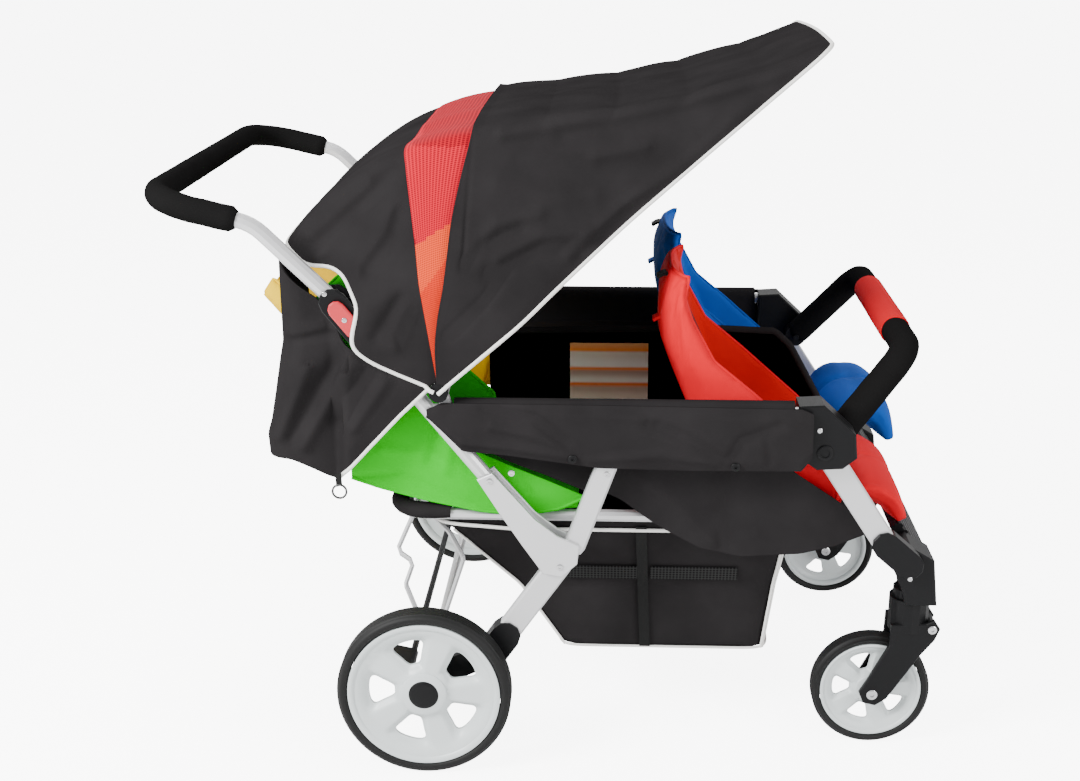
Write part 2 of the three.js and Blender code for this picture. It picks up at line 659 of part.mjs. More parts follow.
function addFrontEnd() {
  const inner = legInner - cheekGap - jointCheek;
  const outer = barOuter;
  const block = outline([
    [frontPivot.x - 38, railHeight + 14],
    [frontPivot.x - 4, railHeight + 16],
    [frontPivot.x + 42, frontPivot.y + 26],
    [frontPivot.x + 45, frontPivot.y - 8],
    [frontPivot.x + 26, frontPivot.y - 24],
    [frontPivot.x - 10, frontPivot.y - 26],
    [frontPivot.x - 32, frontPivot.y - 10],
    [frontPivot.x - 40, frontPivot.y + 26],
  ]);
  const slotReach = reach(frontPivot, 80, frontLegAngle);
  const swung = reach(frontPivot, 80, frontLegAngle - 42);
  const slotWidth = frontLegWidth + 4;
  const slotFrom = legInner - cheekGap;
  const slotTo = legOuter + cheekGap;
  const rail = tube([
    new THREE.Vector3(0, frameHalf, railHeight),
    new THREE.Vector3(frontPivot.x - 22 + fitGap, frameHalf, railHeight),
  ], railRadius + fitGap, { sides: 14 });
  const body = cut(
    plate(block, inner, outer, 2),
    plate(barShape(frontPivot, slotReach, slotWidth), slotFrom, slotTo),
    plate(barShape(frontPivot, swung, slotWidth), slotFrom, slotTo),
    rail,
  );
  const joint = join(
    body,
    crossBar(frontPivot, pinRadius, inner + 1, outer - 1),
    crossBar(bumperPivot, pinRadius, bumperSocketInner, inner + 1),
  );
  addBothSides('front_joint', joint, blackPlastic);

  const legHole = holeAt(frontPivot, pinRadius + boreGap);
  const leg = plate(barShape(frontPivot, frontLegFoot, frontLegWidth, [legHole]), legInner, legOuter, 2);
  addBothSides('front_leg', leg, silver);

  // The crown takes the leg's foot and carries the caster inboard of it
  const swivelY = frontTrack / 2;
  const crownInner = swivelY - crownDepth / 2;
  const crownOuter = swivelY + crownDepth / 2;
  const elbow = reach(frontLegFoot, 34, frontLegAngle + 22);
  const upperShape = barShape(reach(frontLegFoot, -14, frontLegAngle), elbow, frontLegWidth + 6);
  const upper = plate(upperShape, legInner - crownWall, legOuter + 5, 1);
  const lower = outline([
    [elbow.x - 34, elbow.y + 16],
    [elbow.x + 4, elbow.y + 22],
    [elbow.x + 38, elbow.y + 2],
    [swivelAxisX + 32, swivelHeadTop + cheekGap],
    [swivelAxisX - 14, swivelHeadTop + cheekGap],
    [swivelAxisX - 18, swivelHeadTop + 24],
  ]);
  const neck = plate(lower, crownInner, legInner + 6, 2);
  const seat = post(swivelAxisX, swivelY, swivelHeadRadius - 5, swivelHeadTop + cheekGap, swivelHeadTop + 14);
  const legSocket = plate(
    barShape(frontPivot, frontLegFoot, frontLegWidth + 2 * fitGap),
    legInner - fitGap,
    legOuter + fitGap,
  );
  const trimmed = cut(neck, new THREE.BoxGeometry(200, 200, 40).translate(swivelAxisX, swivelY, swivelHeadTop + cheekGap - 20));
  const stem = post(swivelAxisX, swivelY, 8, swivelHeadBottom + 12, swivelHeadTop + 8, 16);
  const crown = join(cut(join(upper, trimmed, seat), legSocket), stem);
  addBothSides('crown', crown, blackPlastic);

  // A caster: a swivel head on the crown's stem, with an arm on each side of its wheel
  const wheelAt = new THREE.Vector2(wheelbase, frontTyreRadius);
  const armGap = frontTyreWidth / 2 + 4;
  const head = post(swivelAxisX, swivelY, swivelHeadRadius, swivelHeadBottom, swivelHeadTop);
  const armShape = outline([
    [swivelAxisX - 29, swivelHeadBottom + 14],
    [swivelAxisX + 22, swivelHeadBottom + 16],
    [swivelAxisX + 34, swivelHeadBottom + 22],
    [swivelAxisX + 43, swivelHeadBottom + 8],
    [swivelAxisX + 36, swivelHeadBottom - 10],
    [swivelAxisX + 16, swivelHeadBottom - 36],
    [wheelAt.x + 22, wheelAt.y - 8],
    [wheelAt.x + 6, wheelAt.y - 19],
    [wheelAt.x - 12, wheelAt.y - 15],
    [wheelAt.x - 19, wheelAt.y + 2],
    [wheelAt.x - 8, wheelAt.y + 22],
    [swivelAxisX - 30, swivelHeadBottom - 20],
  ]);
  const arm = (y) => plate(armShape, y - forkArmThickness / 2, y + forkArmThickness / 2, 1.5);
  const armOffset = armGap + forkArmThickness / 2;
  const fork = cut(
    join(
      head,
      arm(swivelY - armOffset),
      arm(swivelY + armOffset),
      crossBar(wheelAt, wheelPinRadius, swivelY - armOffset, swivelY + armOffset),
      crossBar(new THREE.Vector2(swivelAxisX + 31, swivelHeadBottom + 8), 8, swivelY - armOffset, swivelY + armOffset),
    ),
    post(swivelAxisX, swivelY, 8 + boreGap, swivelHeadBottom + 12 - boreGap, swivelHeadTop + 20, 16),
  );
  addBothSides('caster_fork', fork, blackPlastic);

  // The foot board's ribs run across the stroller
  const slope = boardLow.clone().sub(boardTop);
  const run = slope.length();
  const direction = slope.clone().normalize();
  const outward = new THREE.Vector2(-direction.y, direction.x);
  const boardPoint = (distance, height) => {
    const at = boardTop.clone().addScaledVector(direction, distance).addScaledVector(outward, height);
    return [at.x, at.y];
  };
  const points = [boardPoint(0, -boardThickness), boardPoint(0, 0)];
  const pitch = run / boardRibs;
  for (let k = 0; k < boardRibs; k++) {
    points.push(boardPoint(pitch * (k + 0.2), 0));
    points.push(boardPoint(pitch * (k + 0.35), 3));
    points.push(boardPoint(pitch * (k + 0.65), 3));
    points.push(boardPoint(pitch * (k + 0.8), 0));
  }
  points.push(boardPoint(run, 0), boardPoint(run, -boardThickness));
  const boardHalf = crownInner - fitGap;
  add('foot_board', plate(outline(points), -boardHalf, boardHalf), blackPlastic);
}

// Bumper bar
function addBumper() {
  const foot = (side) => new THREE.Vector3(bumperPivot.x, side * bumperFootHalf, bumperPivot.y);
  const corner = (side) => new THREE.Vector3(bumperCorner.x, side * bumperHalf, bumperCorner.y);
  const bends = { bend: 42, bendSteps: 3 };
  const whole = tube([foot(-1), corner(-1), corner(1), foot(1)], bumperFoam, bends);
  const socket = (side) => crossBar(
    bumperPivot, bumperFoam - 3, side * bumperFootHalf - bumperFoam + 4, side * bumperFootHalf + bumperFoam - 4, 12);
  const waist = new THREE.BoxGeometry(200, 2 * sleeveHalf, 200).translate(bumperCorner.x, 0, bumperCorner.y);
  const core = tube([corner(-1), corner(1)], bumperFoam - 5);
  const holes = crossBar(bumperPivot, pinRadius + boreGap, -400, 400, 16);
  add('bumper_bar', cut(join(cut(whole, waist), core, socket(-1), socket(1)), holes), foam);

  const sleeveY = sleeveHalf - fitGap;
  const sleevePath = [-sleeveY, sleeveY].map((y) => new THREE.Vector3(bumperCorner.x, y, bumperCorner.y));
  add('bumper_sleeve', tube(sleevePath, bumperFoam + 2, { sides: 12, bore: bumperFoam - 4 }), redFoam);
}

// Seat frame: a bent tube round the seats, with two cross tubes and a spacer to each link arm
function addSeatFrame(spacerAt) {
  const y = seatTubeHalf;
  const corners = [
    new THREE.Vector3(seatTubeFront, y, seatTubeHeight),
    new THREE.Vector3(seatTubeRear, y, seatTubeHeight),
    new THREE.Vector3(seatTubeRear, -y, seatTubeHeight),
    new THREE.Vector3(seatTubeFront, -y, seatTubeHeight),
  ];
  const crossTubes = crossTubeXs.map((x) => crossBar(new THREE.Vector2(x, seatTubeHeight), seatTubeRadius, -y, y));
  const spacerEnd = barInner - fitGap;
  const spacers = [crossBar(spacerAt, 8, y, spacerEnd), crossBar(spacerAt, 8, -spacerEnd, -y)];
  add('seat_frame', join(tube(corners, seatTubeRadius, { bend: 45, bendSteps: 3 }), ...crossTubes, ...spacers), silver);
}

// Basket: an open tub of cloth that hangs from the seat frame
const basketTop = seatTubeHeight - seatTubeRadius - fitGap;

function addBasket() {
  const sides = 24;
  const levels = [0, 0.07, 0.45, 1];
  const rearAt = (t) => profile([[0, basketFloorRear], [0.45, 122], [1, basketRear]], t);
  const frontAt = (t) => blend(basketFloorFront, basketFront, t);
  const halfAt = (t) => profile([[0, basketFloorHalf], [0.48, basketFloorHalf + 8], [1, basketTopHalf]], t);
  const ring = (t, inset, z) => {
    const x0 = rearAt(t) + inset;
    const x1 = frontAt(t) - inset;
    const half = halfAt(t) - inset;
    const points = [];
    for (let k = 0; k < sides; k++) {
      const angle = (2 * Math.PI * (k + 0.5)) / sides;
      const squareness = 0.22;
      const cx = Math.sign(Math.cos(angle)) * Math.abs(Math.cos(angle)) ** squareness;
      const cy = Math.sign(Math.sin(angle)) * Math.abs(Math.sin(angle)) ** squareness;
      points.push(new THREE.Vector3(middle(x0, x1) + (cx * (x1 - x0)) / 2, cy * half, z));
    }
    return points;
  };
  const heightAt = (t) => blend(basketFloorHeight, basketTop, t);
  const floorCorner = 10;
  const rings = [ring(0, floorCorner, heightAt(0))];
  levels.slice(1).forEach((t) => rings.push(ring(t, 0, heightAt(t))));
  levels.slice(1).reverse().forEach((t) => rings.push(ring(t, basketWall, heightAt(t))));
  rings.push(ring(0, floorCorner + basketWall, heightAt(0) + basketWall));
  const points = rings.flat();
  const index = [];
  for (let level = 0; level < rings.length - 1; level++) {
    for (let k = 0; k < sides; k++) {
      const a = level * sides + k;
      const b = level * sides + ((k + 1) % sides);
      index.push(a, b, b + sides, a, b + sides, a + sides);
    }
  }
  const last = (rings.length - 1) * sides;
  for (let k = 1; k < sides - 1; k++) {
    index.push(0, k + 1, k);
    index.push(last, last + k, last + k + 1);
  }
  add('basket', closedGeometry(points, index), blackCloth);
}

// Seats
// The front row's back faces and wing edges: [height above the ground, X]
const backLine = [[376, 420], [440, 414], [536, 372], [625, 338], [690, 330], [716, 336]];
const wingLine = [[376, 590], [427, 598], [469, 562], [551, 470], [599, 412], [650, 384], [716, 352]];
// The rear row's wing edges: [distance from the hinge, distance in front of the hinge]
const rearWing = [[0, 50], [60, 92], [200, 66], [300, 52], [420, 44]];

// A seat back with a wing on each side, standing at its hinge, in the front row's own place
function bucketBack(outerFace, innerFace, heights, backAt, wingAt, cornerLift = 0) {
  const outerY = outerFace - wingThickness / 2;
  const innerY = innerFace + wingThickness / 2;
  const corner = 18;
  const side = 0.3;
  const place = (u, v) => {
    const towardsEdge = Math.max(0, 1 - Math.min(v, 1 - v) / side);
    const height = blend(heights[0] + cornerLift * towardsEdge, heights[1], u);
    const top = u > 0.86 ? (u - 0.86) / 0.14 : 0;
    const drawn = 20 * top * top;
    const back = backAt(height) + blend(10, backThickness / 2, Math.min(1, 4 * u));
    const front = Math.max(wingAt(height), back + corner + 4);
    const y0 = innerY + drawn;
    const y1 = outerY - drawn;
    if (v < side) {
      const t = v / side;
      return new THREE.Vector3(blend(front, back + corner, t), y0, height);
    }
    if (v > 1 - side) {
      const t = (v - 1 + side) / side;
      return new THREE.Vector3(blend(back + corner, front, t), y1, height);
    }
    const t = (v - side) / (1 - 2 * side);
    const bow = 1 - Math.abs(2 * t - 1) ** 3;
    return new THREE.Vector3(blend(back + corner, back, bow), blend(y0, y1, t), height);
  };
  const thickness = (u, v) => {
    const edge = 12;
    const across = Math.min(1, full(v, 10) + 0.1);
    const body = blend(wingThickness, backThickness, full(v, 3) ** 2);
    return edge + (body - edge) * across * Math.min(1, full(u, 6) + 0.15);
  };
  return sheet(5, 14, place, thickness);
}

function seatBase(x0, x1, y0, y1) {
  const floor = seatTubeHeight + seatTubeRadius + fitGap;
  const channel = (t) => 1 - 0.16 * Math.exp(-(((t - 0.5) / 0.07) ** 2));
  const thickness = (u, v) => seatEdge + (seatThickness - seatEdge) * full(u) * full(v) * channel(u);
  const place = (u, v) => new THREE.Vector3(blend(x0, x1, u), blend(y0, y1, v), floor + thickness(u, v) / 2);
  return sheet(6, 6, place, thickness);
}

// The rear seats' outer cloth hangs over the seat frame as a curved side panel
function sideSling() {
  const low = [[-108, 424], [-38, 398], [20, 382], [78, 371], [136, 366], [194, 374], [228, 394]];
  const high = [[-108, 436], [-24, 511], [4, 532], [32, 546], [60, 474], [116, 449], [172, 426], [228, 404]];
  const y = seatTubeHalf + seatTubeRadius + fitGap + clothThickness / 2;
  const place = (u, v) => {
    const x = blend(-108, 228, u);
    return new THREE.Vector3(x, y + 2 * Math.sin(Math.PI * v), blend(profile(low, x), profile(high, x), v));
  };
  return sheet(12, 2, place, () => clothThickness);
}

// spine is the middle of the pad from the seat to the foot board: [height, distance forward]
function legRest(y0, y1, thickness, spine) {
  const legRestRear = frontHingeX + hingeToSeat + seatDepth + 6.9;
  const place = (u, v) => {
    const x = profile(spine.map(([, along], i) => [i / 4, along]), u);
    const z = profile(spine.map(([height], i) => [i / 4, height]), u);
    return new THREE.Vector3(legRestRear + x, blend(y0, y1, v), z);
  };
  const channel = (t) => 1 - 0.25 * Math.exp(-(((t - 0.48) / 0.09) ** 2));
  return sheet(8, 6, place, (u, v) => 9 + (thickness - 9) * full(u, 3) * full(v, 4) * channel(u));
}

function addSeats() {
  const hingeLift = seatTubeRadius + 2 * fitGap;
  const frontStart = frontHingeX + hingeToSeat;
  const frontBase = seatBase(frontStart, frontStart + seatDepth, seatInner + wingThickness + 5, seatOuter - wingThickness - 5);
  const frontBack = bucketBack(
    seatOuter, seatInner, [seatTubeHeight + hingeLift, 716],
    (z) => profile(backLine, z),
    (z) => profile(wingLine, z),
  );
  add('blue_seat_back', frontBack, seatCloths.blue);
  add('red_seat_back', mirrored(frontBack), seatCloths.red);
  add('blue_seat_base', frontBase, seatCloths.blue);
  add('red_seat_base', mirrored(frontBase), seatCloths.red);

  // The rear backs are plain lengths of the same bucket, and each stands reclined
  const rearHingeX = frontHingeX - rowSpacing;
  const reclined = (length, angle) => {
    const upright = bucketBack(
      seatOuter - 18, seatInner, [hingeLift, length],
      () => -backThickness / 2,
      (height) => profile(rearWing, height),
      26,
    );
    return upright.rotateY(-angle * degrees).translate(rearHingeX, 0, seatTubeHeight);
  };
  add('yellow_seat_back', reclined(yellowBackLength, yellowRecline), seatCloths.yellow);
  add('green_seat_back', mirrored(reclined(greenBackLength, greenRecline)), seatCloths.green);
  const rearStart = rearHingeX + hingeToSeat;
  const cushion = seatBase(rearStart, rearStart + seatDepth, seatInner, seatTubeHalf + seatTubeRadius + 2);
  const rearBase = join(cushion, sideSling());
  add('green_seat_base', mirrored(rearBase), seatCloths.green);
  add('yellow_seat_base', rearBase, seatCloths.yellow);

  const redSpine = [[382, -0.6], [402, 22], [394, 46], [382, 66], [356, 80]];
  const blueSpine = [[382, 0.4], [426, 26], [434, 62], [416, 90], [378, 106]];
  add('red_leg_rest', legRest(-seatOuter + 14, -seatInner, legRestThickness, redSpine), seatCloths.red);
  add('blue_leg_rest', legRest(seatInner, seatOuter - 14, wideLegRestThickness, blueSpine), seatCloths.blue);
}

// Padded panels over the side rails, the skirts below them and the divider between the seats
function addPanels() {
  // Heights from the side rail
  const padRear = 12;
  const padFront = frontPivot.x - 19;
  const padTop = [[10, 5], [30, 16], [250, 15], [padFront - 16, 12], [padFront, 5]];
  const padLow = [[10, -2], [60, -54], [118, -59], [252, -77], [380, -79], [padFront - 14, -78], [padFront, -60]];
  const padY = padInner + padThickness / 2 + 0.9;
  const padPlace = (u, v) => {
    const x = blend(padRear, padFront, u);
    const ripple = 1.2 * Math.sin(7 * Math.PI * u) * Math.sin(Math.PI * v);
    return new THREE.Vector3(x, padY + ripple, railHeight + blend(profile(padLow, x), profile(padTop, x), v));
  };
  const padDepth = (u, v) => 3 + (padThickness - 3) * full(v, 4);
  addBothSides('side_pad', sheet(12, 3, padPlace, padDepth), blackCloth);

  const skirtTop = [[70, 500], [250, 505], [490, 500], [522, 446], [640, 366]];
  const skirtLow = [[70, 480], [116, 456], [231, 411], [262, 408], [283, 398], [332, 361], [398, 324], [456, 311]];
  skirtLow.push([543, 316], [593, 329], [640, 350]);
  const skirtPlace = (u, v) => {
    const x = blend(74, 638, u);
    const wave = 0.5 * (1 - Math.cos(8 * Math.PI * u)) * (1 - v);
    const y = skirtInner + clothThickness / 2 + wave;
    return new THREE.Vector3(x, y, blend(profile(skirtLow, x), profile(skirtTop, x), v));
  };
  addBothSides('side_skirt', sheet(14, 2, skirtPlace, () => clothThickness), blackCloth);

  const base = seatTubeHeight + seatTubeRadius + fitGap;
  const divider = outline([
    [62, base],
    [594, base],
    [632, 424],
    [550, 546],
    [525, 569],
    [426, 573],
    [80, 566],
  ]);
  add('centre_divider', plate(divider, -6, 6, 2), blackCloth);
}

// Canopy
// How far the canopy's sides lean in, by distance from its pivot
const sideWidths = [[0, 0], [155, 0], [205, -32.8], [340, -86.8], [460, -100.8], [720, -114.8]];
const sideHalf = (radius) => canopyHalf + profile(sideWidths, radius);
// Distance of the canopy's shoulder from its pivot, by angle
const visorShoulders = [[40.7, 700], [43.5, 610], [49, 516], [57, 442], [68, 388], [80, 356], [90, 346]];
const hoodShoulders = [[80, 350], [100, 322], [120, 303], [138.5, 292]];
const canopyCrown = 6;

function canopyPoint(angle, radius, y) {
  const at = reach(canopyPivot, radius, angle);
  return new THREE.Vector3(at.x, y, at.y);
}

// The rows of a side lie where its slope changes, so that the visor slides over the hood
function sideRadius(row, shoulder) {
  const rest = shoulder - 205;
  const outerRows = [[5, Math.min(340, 205 + rest / 3)], [6, Math.min(460, 205 + (2 * rest) / 3)]];
  return profile([[0, canopyFoot], [1, 100], [2, 142], [3, 155], [4, 205], ...outerRows, [7, shoulder]], row);
}

// A shell across the stroller: up one side, over the roof and down the other side
function canopyShell(columns, angleAt, shoulderAt, crown, outward) {
  const side = 0.35;
  const place = (u, v) => {
    const across = v < 0.5 ? v : 1 - v;
    const sign = v < 0.5 ? -1 : 1;
    const shoulder = shoulderAt(angleAt(u, 1000));
    const radius = sideRadius((7 * Math.min(side, across)) / side, shoulder);
    const angle = angleAt(u, radius);
    if (across <= side) {
      return canopyPoint(angle, radius, sign * (sideHalf(radius) + outward));
    }
    const t = (across - side) / (0.5 - side);
    const rise = crown * (1 - (1 - t) ** 2);
    return canopyPoint(angle, radius + rise, sign * (sideHalf(radius) + outward) * (1 - t));
  };
  return sheet(columns, 20, place, () => clothThickness);
}

function addCanopy() {
  const visorAngle = (u) => blend(canopyFrontAngle, canopySplitAngle + canopyLap, u);
  const visorShoulder = (angle) => profile(visorShoulders, angle) + 4;
  add('canopy_visor', canopyShell(8, visorAngle, visorShoulder, canopyCrown, canopyShift), blackCloth);

  // The hood's rear edge runs back past the fold locks and steps up round them: [radius, angle]
  const hoodRear = [[60, 156], [100, 154.5], [142, 149.5], [155, 133], [205, 129.7], [250, canopyRearAngle]];
  const hoodAngle = (u, radius) => blend(canopySplitAngle, profile(hoodRear, radius), u);
  const hoodShoulder = (angle) => profile(hoodShoulders, angle);
  const hood = canopyShell(7, hoodAngle, hoodShoulder, canopyCrown, 0);
  const lockFoot = latchPivot.clone().addScaledVector(mainDirection, latchLength);
  const lockClear = plate(barShape(reach(latchPivot, 40, 138), lockFoot, latchWidth + 10), -500, 500);
  add('canopy_hood', keepLargest(cut(hood, lockClear)), blackCloth);

  // The apron closes the hood below its rear edge and leaves the reclined left seat free. In
  // front it hangs outside the main tubes, and behind the fold locks it lies inside them.
  const innerY = latchInner - fitGap - clothThickness / 2;
  const outerY = frameHalf + tubeRadius + fitGap + clothThickness / 2;
  const cornerRadius = 34;
  const frontEdge = [[424, -117], [504, -36], [556, 6], [640, -6]];
  const rearEdge = [[424, -196], [461, -228], [487, -230], [547, -217], [628, -200], [755, -200]];
  const sideTop = [[0, 556], [0.14, 581], [0.29, 597], [0.43, 612], [0.57, 629], [0.71, 661], [0.86, 688], [1, 705]];
  const cornerTop = 705;
  const apronRows = 22;
  const sideShare = 7 / apronRows;
  const apronPlace = (u, v) => {
    const across = v < 0.5 ? v : 1 - v;
    const sign = v < 0.5 ? -1 : 1;
    const t = Math.min(1, across / sideShare);
    const s = Math.max(0, (across - sideShare) / (0.5 - sideShare));
    const round = Math.min(1, s / 0.25);
    const rearTop = blend(755, 505, ease((v - 0.42) / 0.08));
    const high = s > 0 ? blend(cornerTop, rearTop, round) : profile(sideTop, t);
    const z = blend(blend(426, 460, t * t), high, u);
    const rear = profile(rearEdge, z);
    const front = profile(frontEdge, z);
    if (s === 0) {
      const x = blend(front, rear + cornerRadius, t);
      const outward = ease((x + 128) / 28);
      return new THREE.Vector3(x, sign * blend(innerY, outerY, outward), z);
    }
    const x = rear + cornerRadius * (1 - Math.sin((round * Math.PI) / 2));
    const inward = cornerRadius * (1 - Math.cos((round * Math.PI) / 2));
    const rest = Math.max(0, (s - 0.25) / 0.75);
    return new THREE.Vector3(x, sign * blend(innerY - inward, 0, rest), z);
  };
  add('canopy_apron', sheet(5, apronRows, apronPlace, () => clothThickness), blackCloth);
}

addWheels();
const spacerAt = addSideFrames();
addHandle();
addRearUndercarriage();
addFrontEnd();
addBumper();
addSeatFrame(spacerAt);
addBasket();
addSeats();
addPanels();
addCanopy();

const box = new THREE.Box3().setFromObject(stroller);
stroller.position.set(-middle(box.min.x, box.max.x), 0, -box.min.z);
stroller.updateMatrixWorld(true);

export default stroller;
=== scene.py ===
"""Looks of a multi seat daycare stroller: cloth, foam, piping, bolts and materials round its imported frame.

Shapes are worked out in millimetres, with X from the rear axle and Z from the ground.
"""

import json
import math

import bpy
import numpy as np
from mathutils import Matrix, Vector


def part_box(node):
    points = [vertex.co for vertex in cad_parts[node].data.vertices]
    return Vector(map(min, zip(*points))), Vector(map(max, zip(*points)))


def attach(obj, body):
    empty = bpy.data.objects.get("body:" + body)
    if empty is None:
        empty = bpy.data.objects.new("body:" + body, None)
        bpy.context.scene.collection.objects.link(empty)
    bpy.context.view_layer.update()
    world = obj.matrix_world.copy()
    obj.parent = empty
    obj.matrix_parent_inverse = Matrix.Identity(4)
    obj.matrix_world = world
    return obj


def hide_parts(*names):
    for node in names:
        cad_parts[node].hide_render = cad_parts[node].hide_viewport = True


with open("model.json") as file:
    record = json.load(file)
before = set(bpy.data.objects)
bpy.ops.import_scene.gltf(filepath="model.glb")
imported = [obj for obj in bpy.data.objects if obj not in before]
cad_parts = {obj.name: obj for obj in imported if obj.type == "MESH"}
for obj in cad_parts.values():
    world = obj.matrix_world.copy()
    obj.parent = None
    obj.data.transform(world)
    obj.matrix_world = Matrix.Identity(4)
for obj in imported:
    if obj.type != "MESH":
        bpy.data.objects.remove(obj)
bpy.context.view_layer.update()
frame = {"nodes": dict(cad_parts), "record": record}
nodes = frame["nodes"]
axle_low, axle_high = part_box("rear_rim_left")
AXLE_X = (axle_low.x + axle_high.x) / 2
SIDES = {"left": 1, "right": -1}
CREASE_DEPTH = 1.45
WAVE_COUNT = 9


# Shapes


def row(points):
    """Millimetres from the axle to metres in the frame."""
    return np.asarray(points, float) * 0.001 + np.array([AXLE_X, 0, 0])


def reach(start, distance, degrees):
    """The end of a line of that length and direction in the side view."""
    a = math.radians(degrees)
    return (start[0] + distance * math.cos(a), start[1] + distance * math.sin(a))


def profile(pairs, at):
    """The height at a place on a line given by (place, height) pairs."""
    return np.interp(at, [p[0] for p in pairs], [p[1] for p in pairs])


def mix(a, b, t):
    return a + (b - a) * t


def ease(t):
    t = np.clip(t, 0, 1)
    return t * t * (3 - 2 * t)


def full(t, power=4):
    """Rises from 0 at the start to 1 in the middle, and falls to 0 at the end."""
    return 1 - np.abs(2 * t - 1) ** power


def near(at, middle, width):
    """1 at the middle, and falls to 0 on both sides of it."""
    return np.exp(-(((at - middle) / width) ** 2))


def from_ends(t, steep, least):
    """Rises from least at both ends to 1, over a run of about 1 / steep."""
    return np.minimum(1, steep * np.minimum(t, 1 - t) + least)


def xyz(*parts):
    """Points from their three coordinates, any of which may be one number for all."""
    return np.stack(np.broadcast_arrays(*parts), -1)


def distances(line):
    """How far along a line each of its points lies."""
    return np.concatenate([[0], np.cumsum(np.linalg.norm(np.diff(line, axis=0), axis=1))])


def waves(points, size, seed, along=None):
    """Smooth random heights, about -1 to 1, in waves size mm long that are drawn out along a direction."""
    rng = np.random.RandomState(seed)
    p = np.asarray(points, float)
    if along is not None:
        d = np.array(along, float) / np.linalg.norm(along)
        p = p - 0.82 * (p @ d)[..., None] * d
    total = 0
    for _ in range(WAVE_COUNT):
        k = rng.normal(size=3)
        k *= 2 * math.pi / size * rng.uniform(0.6, 1.5) / np.linalg.norm(k)
        total = total + np.sin(p @ k + rng.uniform(0, 2 * math.pi))
    return total / math.sqrt(WAVE_COUNT) * 0.7


def rough(height, *shape):
    """A relief of one set of waves, height mm high."""
    return lambda points: height * waves(points, *shape)


def creases(points, lines):
    """Long folds in the side view. A line is (its (x, z) points, half width, height)."""
    x, z = points[..., 0], points[..., 2]
    total = np.zeros(x.shape)
    for line, width, height in lines:
        gap = np.full(x.shape, 1e9)
        for a, b in zip(np.array(line, float), np.array(line[1:], float)):
            d = b - a
            t = np.clip(((x - a[0]) * d[0] + (z - a[1]) * d[1]) / (d @ d), 0, 1)
            gap = np.minimum(gap, np.hypot(x - a[0] - t * d[0], z - a[1] - t * d[1]))
        total += CREASE_DEPTH * height * near(gap, 0, width)
    return total


def soften(grid, times, axis=1):
    """Rounds the corners of a grid of points along one axis."""
    g = np.moveaxis(grid.copy(), axis, 0)
    for _ in range(times):
        g[1:-1] = 0.25 * g[:-2] + 0.5 * g[1:-1] + 0.25 * g[2:]
    return np.moveaxis(g, 0, axis)


def volume_of(points, faces):
    a, b, c = [], [], []
    for f in faces:
        a += [f[0]] * (len(f) - 2)
        b += f[1:-1]
        c += f[2:]
    return np.einsum("ij,ij->", points[a], np.cross(points[b], points[c]))


def make(name, points, faces, material, body, uv=None, angle=50):
    points = np.asarray(points, float)
    if volume_of(points - points.mean(0), faces) < 0:
        faces = [f[::-1] for f in faces]
    mesh = bpy.data.meshes.new(name)
    mesh.from_pydata([tuple(p) for p in row(points)], [], faces)
    mesh.materials.append(material)
    mesh.polygons.foreach_set("use_smooth", [True] * len(mesh.polygons))
    mesh.set_sharp_from_angle(angle=math.radians(angle))
    if uv is not None:
        layer = mesh.uv_layers.new(name="UVMap")
        loops = np.zeros(len(mesh.loops), int)
        mesh.loops.foreach_get("vertex_index", loops)
        layer.data.foreach_set("uv", np.asarray(uv)[loops].astype(np.float32).ravel())
    mesh.update()
    obj = bpy.data.objects.new(name, mesh)
    bpy.context.scene.collection.objects.link(obj)
    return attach(obj, body)


def grid_faces(nu, nv, offset=0, flip=False):
    a = np.arange(nu)[:, None] * (nv + 1) + np.arange(nv)[None, :] + offset
    quads = np.stack([a, a + nv + 1, a + nv + 2, a + 1], -1).reshape(-1, 4)
    return (quads[:, ::-1] if flip else quads).tolist()


def ring_faces(rings, sides, closed=False):
    """Faces between rings of points, in a loop, or with an end face at the first and last ring."""
    faces, count = [], rings * sides
    for i in range(rings if closed else rings - 1):
        for k in range(sides):
            a, b = i * sides + k, i * sides + (k + 1) % sides
            faces.append([a, b, (b + sides) % count, (a + sides) % count])
    if not closed:
        faces += [list(range(sides))[::-1], list(range(count - sides, count))]
    return faces


def normals(mid):
    n = np.cross(np.gradient(mid, axis=0), np.gradient(mid, axis=1))
    return n / (np.linalg.norm(n, axis=-1, keepdims=True) + 1e-9)


